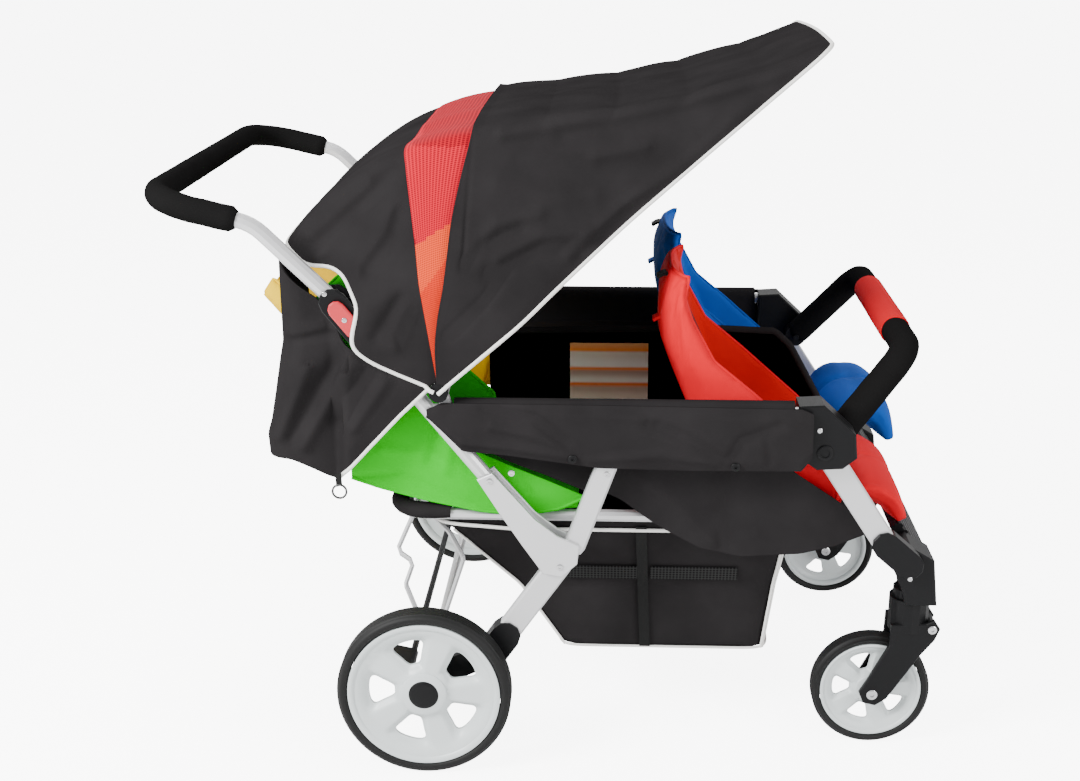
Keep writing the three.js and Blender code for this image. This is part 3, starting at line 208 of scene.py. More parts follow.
def cloth(name, body, material, size, place, thickness, relief=None, replaces=(), rounding=0, toward=None):
    """A closed sheet or pad on a grid. place gives its middle, in mm, and relief its folds outwards."""
    nu, nv = size
    u, v = np.meshgrid(np.linspace(0, 1, nu + 1), np.linspace(0, 1, nv + 1), indexing="ij")
    mid = place(u, v)
    if rounding:
        mid = soften(mid, rounding)
    n = normals(mid)
    outward = mid - mid.mean((0, 1)) if toward is None else np.array(toward, float)
    n = n * np.sign(np.sum(n * outward))
    half = (thickness(u, v) if callable(thickness) else np.full(u.shape, float(thickness)))[..., None] / 2
    if relief is not None:
        mid = mid + n * relief(u, v, mid)[..., None]
    points = np.concatenate([(mid + n * half).reshape(-1, 3), (mid - n * half).reshape(-1, 3)])
    count = (nu + 1) * (nv + 1)
    faces = grid_faces(nu, nv) + grid_faces(nu, nv, count, True)
    rim = [i * (nv + 1) for i in range(nu)] + [nu * (nv + 1) + j for j in range(nv)]
    rim += [i * (nv + 1) + nv for i in range(nu, 0, -1)] + list(range(nv, 0, -1))
    faces += [[a, a + count, b + count, b] for a, b in zip(rim, rim[1:] + rim[:1])]
    lengths = [np.linalg.norm(np.diff(mid, axis=k), axis=-1) for k in (0, 1)]
    uv = np.stack([u * lengths[0].sum(0).mean(), v * lengths[1].sum(1).mean()], -1).reshape(-1, 2) * 0.001
    obj = make(name, points, faces, material, body, np.concatenate([uv, uv]))
    if replaces:
        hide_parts(*replaces)
    return obj, mid


def black_panel(name, body, size, place, thickness, folds, node, rounding=0, toward=None):
    """A piece of the black cover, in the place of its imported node."""
    replaced = (node,) if node else ()
    obj, mid = cloth(name, body, black_cloth, size, place, thickness, folds, replaced, rounding, toward)
    return obj, mid


def bent(corners, bend, steps):
    """A line of straight runs with round bends."""
    c = [np.array(p, float) for p in corners]
    line = [c[0]]
    for before, at, after in zip(c, c[1:], c[2:]):
        into, out = (at - before) / np.linalg.norm(at - before), (after - at) / np.linalg.norm(after - at)
        turn = math.acos(np.clip(into @ out, -1, 1))
        axis = np.cross(into, out)
        axis /= np.linalg.norm(axis)
        inward = np.cross(axis, into)
        centre = at - into * bend * math.tan(turn / 2) + inward * bend
        for k in range(steps + 1):
            a = turn * k / steps
            line.append(centre + bend * (into * math.sin(a) - inward * math.cos(a)))
    return np.array(line + [c[-1]])


def evenly(line, spacing):
    line = np.asarray(line, float)
    d = distances(line)
    at = np.linspace(0, d[-1], max(2, int(d[-1] / spacing) + 1))
    return np.stack([np.interp(at, d, line[:, k]) for k in range(3)], 1)


def tube(name, body, material, line, radius, sides, closed=False, round_ends=False, relief=None):
    """A round tube along a line, in mm."""
    line = np.asarray(line, float)
    along = np.gradient(line, axis=0)
    if closed:
        along = np.roll(line, -1, 0) - np.roll(line, 1, 0)
    along /= np.linalg.norm(along, axis=1, keepdims=True)
    side = np.cross(along[0], [0.31, 0.17, 0.93])
    rings, radii = [], np.full(len(line), float(radius))
    if round_ends:
        d = distances(line)
        end = np.clip(1 - np.minimum(d, d[-1] - d) / (0.45 * radius), 0, 1)
        radii = radius * (0.72 + 0.28 * np.sqrt(1 - end**2))
    for p, t, r in zip(line, along, radii):
        side = side - t * (side @ t)
        side /= np.linalg.norm(side)
        other = np.cross(t, side)
        a = np.arange(sides) * 2 * math.pi / sides
        rings.append(p + r * (np.cos(a)[:, None] * side + np.sin(a)[:, None] * other))
    points = np.concatenate(rings)
    if relief is not None:
        outward = points - np.repeat(line, sides, 0)
        outward /= np.linalg.norm(outward, axis=1, keepdims=True)
        points = points + outward * relief(points)[:, None]
    return make(name, points, ring_faces(len(line), sides, closed), material, body)


def lathe(name, body, material, centre, section, steps=96):
    """Turns a closed section of (radius, across) points round an axle through centre."""
    s, m = np.array(section, float), len(section)
    a = np.arange(steps) * 2 * math.pi / steps
    r, w = s[:, 0][None, :], np.broadcast_to(s[:, 1][None, :], (steps, m))
    points = np.stack([r * np.cos(a)[:, None], w, r * np.sin(a)[:, None]], -1).reshape(-1, 3)
    return make(name, points + np.array(centre, float), ring_faces(steps, m, True), material, body)


def bolt(name, body, material, centre, radius, height, side, recess=0.45):
    """A round bolt head that faces along Y, with a socket."""
    h = height * side
    section = [
        (0.01, 0.3 * h),
        (recess * radius, 0.3 * h),
        (recess * radius, 0.95 * h),
        (0.8 * radius, h),
        (radius, 0.7 * h),
        (radius, -0.4 * h),
        (0.01, -0.4 * h),
    ]
    return lathe(name, body, material, centre, section, 24)


# Swelling of pads

SWELL_STEPS = 20


def settle(obj):
    """Gives obj the shape that its modifiers make."""
    shape = bpy.data.meshes.new_from_object(obj.evaluated_get(bpy.context.evaluated_depsgraph_get()))
    obj.modifiers.clear()
    obj.data = shape


def places_of(mesh):
    points = np.zeros(3 * len(mesh.vertices))
    mesh.vertices.foreach_get("co", points)
    return points.reshape(-1, 3)


def puffed(obj, cap, seams, rests=None, pressure=4.0, voxel=7.0):
    """Swells a pad by cloth simulation, by at most cap mm. Its seams are held, and what rests picks out."""
    voxels = obj.modifiers.new("voxels", "REMESH")
    voxels.mode = "VOXEL"
    voxels.voxel_size = voxel * 0.001
    voxels.use_smooth_shade = True
    settle(obj)
    start = places_of(obj.data)
    lines = row(np.concatenate([evenly(line, 3) for line in seams]))
    gap = np.full(len(start), 1.0)
    for at in lines:
        gap = np.minimum(gap, np.linalg.norm(start - at, axis=1))
    held = gap < 0.8 * voxel * 0.001
    if rests is not None:
        held |= rests((start - row([0, 0, 0])) * 1000)
    group = obj.vertex_groups.new(name="seams")
    group.add(np.nonzero(held)[0].tolist(), 1.0, "REPLACE")
    swell = obj.modifiers.new("swell", "CLOTH")
    swell.settings.use_pressure = True
    swell.settings.uniform_pressure_force = pressure
    swell.settings.effector_weights.gravity = 0
    swell.settings.vertex_group_mass = "seams"
    swell.settings.bending_stiffness = 0.4
    for number in range(1, SWELL_STEPS + 1):
        bpy.context.scene.frame_set(number)
    swollen = obj.evaluated_get(bpy.context.evaluated_depsgraph_get())
    step = places_of(swollen.data) - start
    far = np.linalg.norm(step, axis=1, keepdims=True)
    end = start + step * np.minimum(1, cap * 0.001 / np.maximum(far, 1e-9))
    obj.modifiers.clear()
    bpy.context.scene.frame_set(1)
    obj.data.vertices.foreach_set("co", end.ravel())
    obj.data.update()
    finer = obj.modifiers.new("finer", "SUBSURF")
    finer.levels = 1
    settle(obj)
    obj.data.polygons.foreach_set("use_smooth", [True] * len(obj.data.polygons))


# Materials


def group(name, inputs, outputs, fill):
    """A shader node group with named sockets, whose nodes fill makes."""
    tree = bpy.data.node_groups.new(name, "ShaderNodeTree")
    for socket in inputs:
        tree.interface.new_socket(socket, in_out="INPUT", socket_type="NodeSocketFloat")
    for socket, kind in outputs.items():
        tree.interface.new_socket(socket, in_out="OUTPUT", socket_type=kind)
    fill(tree, tree.nodes.new("NodeGroupInput"), tree.nodes.new("NodeGroupOutput"))
    return tree


def add(tree, kind, inputs=None, **settings):
    """A shader node. Each of its inputs takes a value or the output of another node."""
    node = tree.nodes.new(f"ShaderNode{kind}")
    for setting, value in settings.items():
        setattr(node, setting, value)
    for socket, value in (inputs or {}).items():
        if isinstance(value, bpy.types.NodeSocket):
            tree.links.new(value, node.inputs[socket])
        else:
            node.inputs[socket].default_value = value
    return node


def fill_grain(tree, given, out):
    place = add(tree, "TexCoord").outputs["Object"]
    patches = add(tree, "TexNoise", {"Vector": place, "Scale": 14, "Detail": 5})
    fine = add(tree, "TexNoise", {"Vector": place, "Scale": given.outputs["Grain"], "Detail": 2})
    raised = {"Height": fine.outputs["Fac"], "Strength": given.outputs["Depth"], "Distance": 0.001}
    tree.links.new(patches.outputs["Fac"], out.inputs["Patches"])
    tree.links.new(add(tree, "Bump", raised).outputs["Normal"], out.inputs["Normal"])


def fill_knit(tree, given, out):
    """Cords with holes between them, on a square grid of the cloth's own lengths."""
    flat = add(tree, "UVMap").outputs["UV"]
    grid = {"Vector": flat, "Scale": given.outputs["Holes per metre"], "Randomness": 0.0}
    gap = add(tree, "TexVoronoi", grid).outputs["Distance"]
    edge = {"Value": gap, "From Min": given.outputs["Hole edge"], "From Max": given.outputs["Cord edge"]}
    tree.links.new(add(tree, "MapRange", edge).outputs["Result"], out.inputs["Cords"])


GRAIN = group(
    "fine grain",
    ["Grain", "Depth"],
    {"Patches": "NodeSocketFloat", "Normal": "NodeSocketVector"},
    fill_grain,
)
KNIT = group(
    "knitted net",
    ["Holes per metre", "Hole edge", "Cord edge"],
    {"Cords": "NodeSocketFloat"},
    fill_knit,
)
EDGE_BLUR = 0.05


def mixed(tree, factor, first, second):
    """A node that mixes two colours."""
    return add(tree, "Mix", {0: factor, 6: (*first, 1), 7: (*second, 1)}, data_type="RGBA").outputs[2]


def finish_of(name, colour, roughness, metallic=0.0, grain=600, depth=0.1, vary=0.12, gloss=0.5):
    """A material in one colour that varies in patches, with a fine grain."""
    material = bpy.data.materials.new(name)
    material.use_nodes = True
    tree = material.node_tree
    shader = tree.nodes["Principled BSDF"]
    shader.inputs["Roughness"].default_value = roughness
    shader.inputs["Metallic"].default_value = metallic
    shader.inputs["Specular IOR Level"].default_value = gloss
    surface = add(tree, "Group", node_tree=GRAIN)
    surface.inputs["Grain"].default_value = grain
    surface.inputs["Depth"].default_value = depth
    darker = [c * (1 - vary) for c in colour]
    lighter = [min(1, c * (1 + vary)) for c in colour]
    tint = mixed(tree, surface.outputs["Patches"], darker, lighter)
    tree.links.new(tint, shader.inputs["Base Color"])
    tree.links.new(surface.outputs["Normal"], shader.inputs["Normal"])
    return material


def net(name, cord_colour, hole_colour, pitch=0.0036, open_share=0.36):
    """A knitted net, whose holes lie pitch metres apart."""
    material = finish_of(name, cord_colour, 0.8, gloss=0.1)
    tree = material.node_tree
    knit = add(tree, "Group", node_tree=KNIT)
    knit.inputs["Holes per metre"].default_value = 1 / pitch
    knit.inputs["Hole edge"].default_value = open_share - EDGE_BLUR
    knit.inputs["Cord edge"].default_value = open_share + EDGE_BLUR
    tint = mixed(tree, knit.outputs["Cords"], hole_colour, cord_colour)
    tree.links.new(tint, tree.nodes["Principled BSDF"].inputs["Base Color"])
    return material


def striped(name, stops, height):
    """Soft bands of colour down a panel of that height in metres."""
    material = finish_of(name, (0.5, 0.4, 0.3), 0.6, gloss=0.2)
    tree = material.node_tree
    split = add(tree, "SeparateXYZ", {"Vector": add(tree, "UVMap").outputs["UV"]})
    scaled = add(tree, "Math", {0: split.outputs["Y"], 1: height}, operation="DIVIDE")
    ramp = add(tree, "ValToRGB", {"Fac": scaled.outputs[0]})
    ramp.color_ramp.interpolation = "EASE"
    while len(ramp.color_ramp.elements) < len(stops):
        ramp.color_ramp.elements.new(0.5)
    for element, (position, colour) in zip(ramp.color_ramp.elements, stops):
        element.position = position
        element.color = (*colour, 1)
    tree.links.new(ramp.outputs["Color"], tree.nodes["Principled BSDF"].inputs["Base Color"])
    return material


silver = finish_of("satin silver", (0.62, 0.62, 0.63), 0.36, 0.5, 900, 0.04, 0.04)
steel = finish_of("bright steel", (0.6, 0.6, 0.61), 0.15, 1.0, 900, 0.02, 0.03)
dark_steel = finish_of("dark ring", (0.08, 0.08, 0.08), 0.3, 0.8, 900, 0.02, 0.03)
black_plastic = finish_of("black nylon", (0.004, 0.004, 0.0045), 0.42, 0, 1400, 0.12, 0.1, 0.16)
grey_plastic = finish_of("light grey rim", (0.56, 0.6, 0.6), 0.38, 0, 900, 0.04, 0.03)
red_plastic = finish_of("red release", (0.5, 0.02, 0.03), 0.35, 0, 900, 0.05, 0.08)
rubber = finish_of("tyre rubber", (0.005, 0.005, 0.005), 0.6, 0, 900, 0.15, 0.15, 0.25)
foam = finish_of("black foam", (0.008, 0.0078, 0.0078), 0.95, 0, 2600, 0.5, 0.15, 0)
red_foam = finish_of("red foam", (0.5, 0.002, 0.008), 0.9, 0, 2600, 0.4, 0.1, 0.1)
black_cloth = finish_of("black woven cloth", (0.0175, 0.0162, 0.0168), 0.9, 0, 1900, 0.3, 0.3, 0)
white_piping = finish_of("white piping", (0.8, 0.79, 0.76), 0.6, 0, 1500, 0.15, 0.06)
webbing = finish_of("black webbing", (0.004, 0.004, 0.004), 0.7, 0, 2200, 0.5, 0.2, 0.2)

# Each seat's cloth, its inside tone (partly its own, partly painted shade), how much both vary in patches,
# and the inside's gloss
SEAT_COLOURS = {
    "green": ((0.003, 0.46, 0.001), (0.002, 0.3, 0.002), 0.14, 0.1),
    "yellow": ((0.72, 0.46, 0.001), (0.66, 0.4, 0.001), 0.1, 0.1),
    "red": ((0.62, 0.003, 0.012), (0.5, 0.0003, 0.001), 0.12, 0.08),
    "blue": ((0.003, 0.07, 0.36), (0.003, 0.08, 0.4), 0.12, 0.1),
}
seat_cloth = {}
inside_tone_and_shade = {}
# On the green, yellow and red seats the inside tone is a darker copy of the cloth: painted shade in the
# bucket
for seat, (outside, inside, patchy, inner_gloss) in SEAT_COLOURS.items():
    seat_cloth[seat] = finish_of(f"{seat} padded cloth", outside, 0.75, 0, 1900, 0.22, patchy, 0.1)
    inside_tone_and_shade[seat] = finish_of(f"{seat} lining", inside, 0.75, 0, 1900, 0.22, patchy, inner_gloss)

red_net = net("red net", (0.42, 0.0008, 0.012), (0.14, 0.0004, 0.005))
# The second red net and the second orange net are lighter copies for the band's lit facets: painted light
red_net_painted_light = net("red net painted light", (0.56, 0.003, 0.02), (0.22, 0.001, 0.008))
orange_net = net("orange net", (0.62, 0.03, 0.006), (0.3, 0.012, 0.003))
orange_net_painted_light = net("orange net painted light", (0.72, 0.06, 0.012), (0.36, 0.025, 0.006))
grey_net = net("grey net", (0.02, 0.02, 0.02), (0.002, 0.002, 0.002), 0.005, 0.34)

PANEL_FOOT, PANEL_TOP = 450, 549
PANEL_STRIPES = [
    (0.0, (0.3, 0.1, 0.04)),
    (0.07, (0.85, 0.72, 0.6)),
    (0.24, (0.6, 0.42, 0.33)),
    (0.31, (0.9, 0.2, 0.03)),
    (0.36, (0.85, 0.78, 0.7)),
    (0.52, (0.5, 0.33, 0.26)),
    (0.57, (0.9, 0.24, 0.05)),
    (0.62, (0.9, 0.85, 0.78)),
    (0.84, (0.8, 0.7, 0.6)),
    (0.88, (0.95, 0.3, 0.05)),
    (1.0, (0.9, 0.42, 0.16)),
]
panel_stripes = striped("plain striped panel", PANEL_STRIPES, (PANEL_TOP - PANEL_FOOT) * 0.001)

FINISHES = {
    "metal": silver,
    "black_plastic": black_plastic,
    "grey_plastic": grey_plastic,
    "red_plastic": red_plastic,
    "tyre": rubber,
    "foam": foam,
    "red_foam": red_foam,
    "black_cloth": black_cloth,
    **{f"{seat}_cloth": material for seat, material in seat_cloth.items()},
}
BOSS_FACE = 0.3442


def paint_frame():
    """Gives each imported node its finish. The ends of the side rails, where the canopy turns, are black."""
    slots = {s["node"]: s["material_slot"] for s in frame["record"]["subparts"]}
    for name, obj in nodes.items():
        obj.data.materials.clear()
        obj.data.materials.append(FINISHES[slots[name]])
        obj.data.polygons.foreach_set("use_smooth", [True] * len(obj.data.polygons))
        obj.data.set_sharp_from_angle(angle=math.radians(38))
    for side in SIDES:
        rail = nodes[f"side_rail_{side}"].data
        rail.materials.append(black_plastic)
        for face in rail.polygons:
            face.material_index = int(abs(face.center.y) > BOSS_FACE)


# Camera, light and floor

PHOTO_WIDTH = 1080
FOCAL_LENGTH = 1533.3  # in the photograph's pixels
FILM_WIDTH = 36
CAMERA_PLACE = (0.27194, -2.36804, 1.21172)
CAMERA_AXES = ((0.99877, 0.04933, -0.00533), (-0.00972, 0.29993, 0.95391), (0.04865, -0.95268, 0.30004))
SKY = 1.0
WHITE_GROUND = 7
LAMPS = (
    ("key", (-2.3, -1.9, 2.3), 1.2, 230),
    ("fill", (2.4, -2.2, 1.4), 1.4, 60),
    ("rim", (0.2, 1.8, 2.8), 1.6, 50),
)


def whiter_to_camera(tree, socket, plain):
    """Shows the camera a white ground, and leaves the light on the stroller plain."""
    seen = add(tree, "LightPath").outputs["Is Camera Ray"]
    strength = add(tree, "Math", {0: seen, 1: WHITE_GROUND, 2: plain}, operation="MULTIPLY_ADD")
    tree.links.new(strength.outputs[0], socket)


def set_camera():
    camera = bpy.data.objects.new("camera", bpy.data.cameras.new("camera"))
    camera.data.lens = FILM_WIDTH * FOCAL_LENGTH / PHOTO_WIDTH
    turned = Matrix([Vector(axis) for axis in CAMERA_AXES]).transposed().to_4x4()
    camera.matrix_world = Matrix.Translation(Vector(CAMERA_PLACE) + Vector((AXLE_X, 0, 0))) @ turned
    bpy.context.scene.collection.objects.link(camera)
    bpy.context.scene.camera = camera


def set_studio():
    bpy.ops.mesh.primitive_plane_add(size=400, location=(0, 2, 0))
    floor = bpy.context.object
    floor.name = "floor"
    pale = finish_of("pale floor", (0.86, 0.86, 0.86), 0.8, 0, 20, 0, 0, 0.1)
    shader = pale.node_tree.nodes["Principled BSDF"]
    shader.inputs["Emission Color"].default_value = (1, 1, 1, 1)
    whiter_to_camera(pale.node_tree, shader.inputs["Emission Strength"], 0)
    floor.data.materials.append(pale)

    world = bpy.data.worlds.new("studio")
    world.use_nodes = True
    sky = world.node_tree.nodes["Background"]
    sky.inputs["Color"].default_value = (1, 1, 1, 1)
    whiter_to_camera(world.node_tree, sky.inputs["Strength"], SKY)
    bpy.context.scene.world = world
    for name, place, size, power in LAMPS:
        lamp = bpy.data.objects.new(name, bpy.data.lights.new(name, "AREA"))
        lamp.data.size = size
        lamp.data.energy = power
        lamp.location = place
        lamp.rotation_euler = (Vector((0, 0, 0.5)) - lamp.location).to_track_quat("-Z", "Y").to_euler()
        bpy.context.scene.collection.objects.link(lamp)


# Wheels

# Each pair: place along and across, the radius of tyre and rim, and the tyre's width
WHEELS = {"rear": (0, 380, 127, 111, 38), "front": (660, 268, 88, 75, 32)}
SPOKES = 5
LOOP = 40


def tyre_section(radius, rim, width):
    """Tread ribs, shoulders and a rounded bead, as (radius, across) points."""
    h = width / 2
    tread = []
    for k in range(5):
        c = -0.56 * h + 0.28 * h * k
        tread += [(radius - 1.6, c - 0.13 * h), (radius - 0.2, c - 0.09 * h)]
        tread += [(radius - 0.2, c + 0.09 * h), (radius - 1.6, c + 0.13 * h)]
    left = [(rim + 0.6, -0.78 * h), (rim + 3, -0.92 * h), (rim + 8, -h)]
    left += [(radius - 5, -0.93 * h), (radius - 2.4, -0.78 * h)]
    return left + tread + [(r, -w) for r, w in left[::-1]]


def pocket_loops():
    """A rounded square and a square, as points round the middle of a pocket."""
    a = 2 * math.pi * np.arange(LOOP) / LOOP
    c, s, power = np.cos(a), np.sin(a), 4.5
    rounded = (abs(c) ** power + abs(s) ** power) ** (1 / power)
    square = np.maximum(abs(c), abs(s))
    return c / rounded, s / rounded, c / square, s / square


def wheel_face(name, body, at, radius, width, side):
    """Five spokes between sloped pockets, each with a window, from the boss to the rim."""
    c0, s0, c1, s1 = pocket_loops()
    points, faces, steps = [], [], [0, 0.1, 0.22, 0.36, 0.5, 0.75, 1]
    for k in range(SPOKES):
        for front in (1, 0):
            for t in steps:
                r = mix(0.565 + 0.17 * c0, 0.585 + 0.355 * c1, t)
                a = mix(np.radians(15.5 + 4 * c0) * s0, np.radians(36) * s1, t)
                a = a + math.pi + 2 * math.pi * k / SPOKES
                raised = 0.15 * ease((r - 0.8) / 0.1) + 0.17 * ease((0.34 - r) / 0.08)
                y = 0.3 + raised - 0.26 * (1 - ease(t / 0.42)) if front else -0.1 - raised
                points.append(xyz(radius * r * np.cos(a), side * width * y, radius * r * np.sin(a)))
    points = np.concatenate(points)
    for k in range(SPOKES):
        base = k * 2 * len(steps) * LOOP
        for i in range(LOOP):
            j = (i + 1) % LOOP
            for front in (0, 1):
                for t in range(len(steps) - 1):
                    a = base + (front * len(steps) + t) * LOOP
                    quad = [a + i, a + j, a + LOOP + j, a + LOOP + i]
                    faces.append(quad if front else quad[::-1])
            inner, back = base, base + len(steps) * LOOP
            faces.append([inner + i, back + i, back + j, inner + j][::-1])
            last, behind = inner + (len(steps) - 1) * LOOP, back + (len(steps) - 1) * LOOP
            if abs(c1[i] - c1[j]) < 1e-6 and abs(c1[i]) > 0.999:
                faces.append([last + i, last + j, behind + j, behind + i][::-1])
    keys = {}
    same = [keys.setdefault(tuple(q), i) for i, q in enumerate(np.round(points, 3).tolist())]
    faces = [[same[i] for i in f] for f in faces]
    return make(name, points + np.array(at, float), faces, grey_plastic, body, angle=40)


def dress_wheels():
    for side, s in SIDES.items():
        for where, (x, y, radius, rim, width) in WHEELS.items():
            at = (x, y * s, radius)
            body = f"{where}_wheel_{side}"
            section = tyre_section(radius, rim, width)
            obj = lathe(f"{where}_tyre_tread_{side}", body, rubber, at, section)
            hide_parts(f"{where}_tyre_{side}")
            face = wheel_face(f"{where}_wheel_face_{side}", body, at, rim, width - 6, s)
            h = width / 2 - 3
            ring = [(0.925 * rim, -h), (0.97 * rim, -h - 1.6), (rim - 0.2, -h - 0.8), (rim - 0.3, h + 0.8)]
            ring += [(0.97 * rim, h + 1.6), (0.925 * rim, h), (0.9 * rim, 0.6 * h), (0.9 * rim, -0.6 * h)]
            barrel = lathe(f"{where}_wheel_ring_{side}", body, grey_plastic, at, ring)
            boss = [(0.05 * rim, -h), (0.27 * rim, -h), (0.3 * rim, 2 - h)]
            boss += [(r, -w) for r, w in boss[::-1]]
            hub = lathe(f"{where}_wheel_boss_{side}", body, grey_plastic, at, boss, 48)
            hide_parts(f"{where}_rim_{side}")
        section = [(0.01, 3.4 * s), (16, 3.4 * s), (21, 2.4 * s), (23, 0), (23, -2 * s), (0.01, -2 * s)]
        at = (0, s * (380 + 14.5), 127)
        cap = lathe(f"hub_cap_{side}", f"rear_wheel_{side}", black_plastic, at, section, 48)
        for inner, turn in (("outer", s), ("inner", -s)):
            y = 268 * s + 28.2 * turn
            bolt(f"axle_bolt_{inner}_{side}", f"caster_{side}", steel, (660, y, 88), 8, 3, turn)
            bolt(f"suspension_bolt_{inner}_{side}", f"caster_{side}", steel, (742, y, 196), 6.5, 3, turn)


# Frame details

LEVER_PIVOT = (-85, 661)
LEVER_TIP = reach(LEVER_PIVOT, 20, 129)
JOINT_FACE = 344.3

# Screws of one side: name, body, material, distance from the middle, radius, height, width of the
# socket as a share of the radius, and places in the side view
SCREWS = (
    ("hub_screw_{k}", "frame", steel, 350.2, 4.6, 1.6, 0.45, ((97, 441), (128, 454), (196, 311))),
    ("joint_screw_{k}", "frame", steel, JOINT_FACE, 3.6, 1.4, 0.45, ((540, 494), (556, 520))),
    ("joint_pin", "frame", black_plastic, JOINT_FACE, 11, 2.4, 0.6, ((565, 487),)),
    ("arm_rivet", "frame", steel, JOINT_FACE, 4, 1.4, 0.45, ((262, 452),)),
    ("crown_screw", "front_undercarriage", steel, 326, 3.4, 1.4, 0.45, ((698, 290),)),
    ("bracket_screw", "rear_undercarriage", steel, 346.2, 3.4, 1.4, 0.45, ((104, 180),)),
    ("lock_screw_{k}", "frame", steel, 350.1, 3.4, 1.3, 0.45, ((-125, 711), (-99, 669), (-78, 652))),
    ("lever_tip_screw", "latch_lever_{side}", steel, 358.2, 3.6, 1.3, 0.45, (LEVER_TIP,)),
    ("lever_screw", "latch_lever_{side}", steel, 358.2, 3.6, 1.3, 0.45, (LEVER_PIVOT,)),
)
HANDLE_BEND = (-368, 838)
HANDLE_LOCK = (-224, 805)
BUMPER_PIVOT = (590, 489)
BUMPER_BEND = (690, 607)


def dress_frame():
    for side, s in SIDES.items():
        for name, body, material, out, radius, height, recess, places in SCREWS:
            for k, (x, z) in enumerate(places):
                own = f"{name.format(k=k)}_{side}"
                bolt(own, body.format(side=side), material, (x, s * out, z), radius, height, s, recess)


def foam_over(name, body, material, line, radius, sides, relief, node):
    """Foam round a bar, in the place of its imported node."""
    obj = tube(name, body, material, line, radius, sides, round_ends=True, relief=relief)
    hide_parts(node)


def dress_foam():
    x, z = mix(np.array(HANDLE_LOCK), np.array(HANDLE_BEND), 0.14)
    corner_x, corner_z = HANDLE_BEND
    bar = [(x, 333, z), (corner_x, 333, corner_z), (corner_x, -333, corner_z), (x, -333, z)]
    line = evenly(bent(bar, 70, 14), 7)
    foam_over("handle_foam", "handle", foam, line, 18, 28, rough(0.35, 26, 4), "handle_grip")
    (x0, z0), (x1, z1) = BUMPER_PIVOT, BUMPER_BEND
    line = evenly(bent([(x0, -274, z0), (x1, -236, z1), (x1, 236, z1), (x0, 274, z0)], 42, 12), 6)
    foam_over("bumper_foam", "bumper", foam, line, 21, 28, rough(0.3, 24, 6), "bumper_bar")
    line = evenly([(x1, -138, z1), (x1, 138, z1)], 5)
    wrinkled = rough(0.5, 45, 9, (0, 1, 0))
    foam_over("bumper_sleeve_cover", "bumper", red_foam, line, 23, 32, wrinkled, "bumper_sleeve")
    for side, s in SIDES.items():
        disc = [(0.01, 2 * s), (15, 2 * s), (18, 0), (18, -30 * s), (0.01, -30 * s)]
        lathe(f"bumper_socket_{side}", "bumper", black_plastic, (x0, s * 292, z0), disc, 40)


# Seats

BACK_LINE = [(376, 420), (440, 414), (536, 372), (625, 338), (690, 330), (716, 336)]
WING_LINE = [(376, 590), (427, 598), (469, 562), (551, 470), (599, 412), (650, 384), (716, 352)]
HARNESS = [(368, 656), (378, 644), (396, 605), (411, 572), (430, 515), (456, 424)]
REAR_LINE = [(0, -17.0), (430, -17.0)]
REAR_WING = [(0, 50), (60, 92), (200, 66), (300, 52), (420, 44)]
REAR_LIFT = 26
REAR_FOOT = (42, 366)
SEAT_FLOOR = 375.3
WING = 18
BACK = 29


def bucket(outer, inner, heights, back_line, wing_line, lift=0):
    """A seat back with a wing on each side, and its thickness. The foot of its wings is raised by lift."""

    def place(u, v):
        edge = np.maximum(0, 1 - np.minimum(v, 1 - v) / 0.3)
        height = mix(heights[0] + lift * edge, heights[1], u)
        top = np.clip((u - 0.86) / 0.14, 0, 1)
        drawn = 20 * top**2
        back = profile(back_line, height) + mix(10, 17, np.minimum(1, 4 * u))
        front = np.maximum(profile(wing_line, height), back + 22)
        y0, y1 = inner + WING / 2 + drawn, outer - WING / 2 - drawn
        first, last = v / 0.3, (v - 0.7) / 0.3
        t = np.clip((v - 0.3) / 0.4, 0, 1)
        bow = 1 - np.abs(2 * t - 1) ** 3
        x = np.where(v < 0.3, mix(front, back + 18, first), mix(back + 18, back, bow))
        x = np.where(v > 0.7, mix(back + 18, front, last), x)
        y = np.where(v < 0.3, y0, np.where(v > 0.7, y1, mix(y0, y1, t)))
        return np.stack([x, y, height], -1)

    def thickness(u, v):
        across = np.minimum(1, full(v, 10) + 0.1)
        body = mix(WING, BACK, full(v, 3) ** 2)
        seam = 1 - 0.4 * near(v, 0.3, 0.022) - 0.4 * near(v, 0.7, 0.022)
        return 9 + (body - 9) * across * np.minimum(1, full(u, 6) + 0.12) * seam

    return place, thickness


def back_seams(mid):
    """The lines along which a back is sewn: its edges, the root of each wing and one row across."""
    rows, columns = mid.shape[0] - 1, mid.shape[1] - 1
    first, last = int(0.3 * columns), int(0.7 * columns)
    across = mid[int(0.42 * rows), first : last + 1]
    return [mid[:, 0], mid[:, -1], mid[-1], mid[0], mid[:, first], mid[:, last], across]


def tone_and_shade_inside(obj, colour, middle, depth_at, angle):
    """Gives the inside of a back its second tone, partly the cloth's own and partly painted shade: the faces
    that look at the middle of its open front.
    """
    obj.data.materials.append(inside_tone_and_shade[colour])
    for face in obj.data.polygons:
        x, y, z = [1000 * c for c in face.center]
        depth = depth_at(x - 1000 * AXLE_X, z)
        way = Vector((depth * math.cos(angle), middle - y, depth * math.sin(angle)))
        face.material_index = int(way.normalized().dot(face.normal) > 0.25)


def strap(name, body, line, width, material=webbing, thick=1.6, across=(0, 1, 0)):
    """A flat strap along a line, whose width lies across."""
    line = evenly(line, 5)
    w = np.array(across, float) / np.linalg.norm(across)

    def place(u, v):
        at = np.stack([np.interp(u, np.linspace(0, 1, len(line)), line[:, k]) for k in range(3)], -1)
        return at + (v[..., None] - 0.5) * width * w

    cloth(name, body, material, (len(line) * 2, 4), place, thick)


def in_plane(y, points):
    """Points of the side view, at y."""
    return [(x, y, z) for x, z in points]


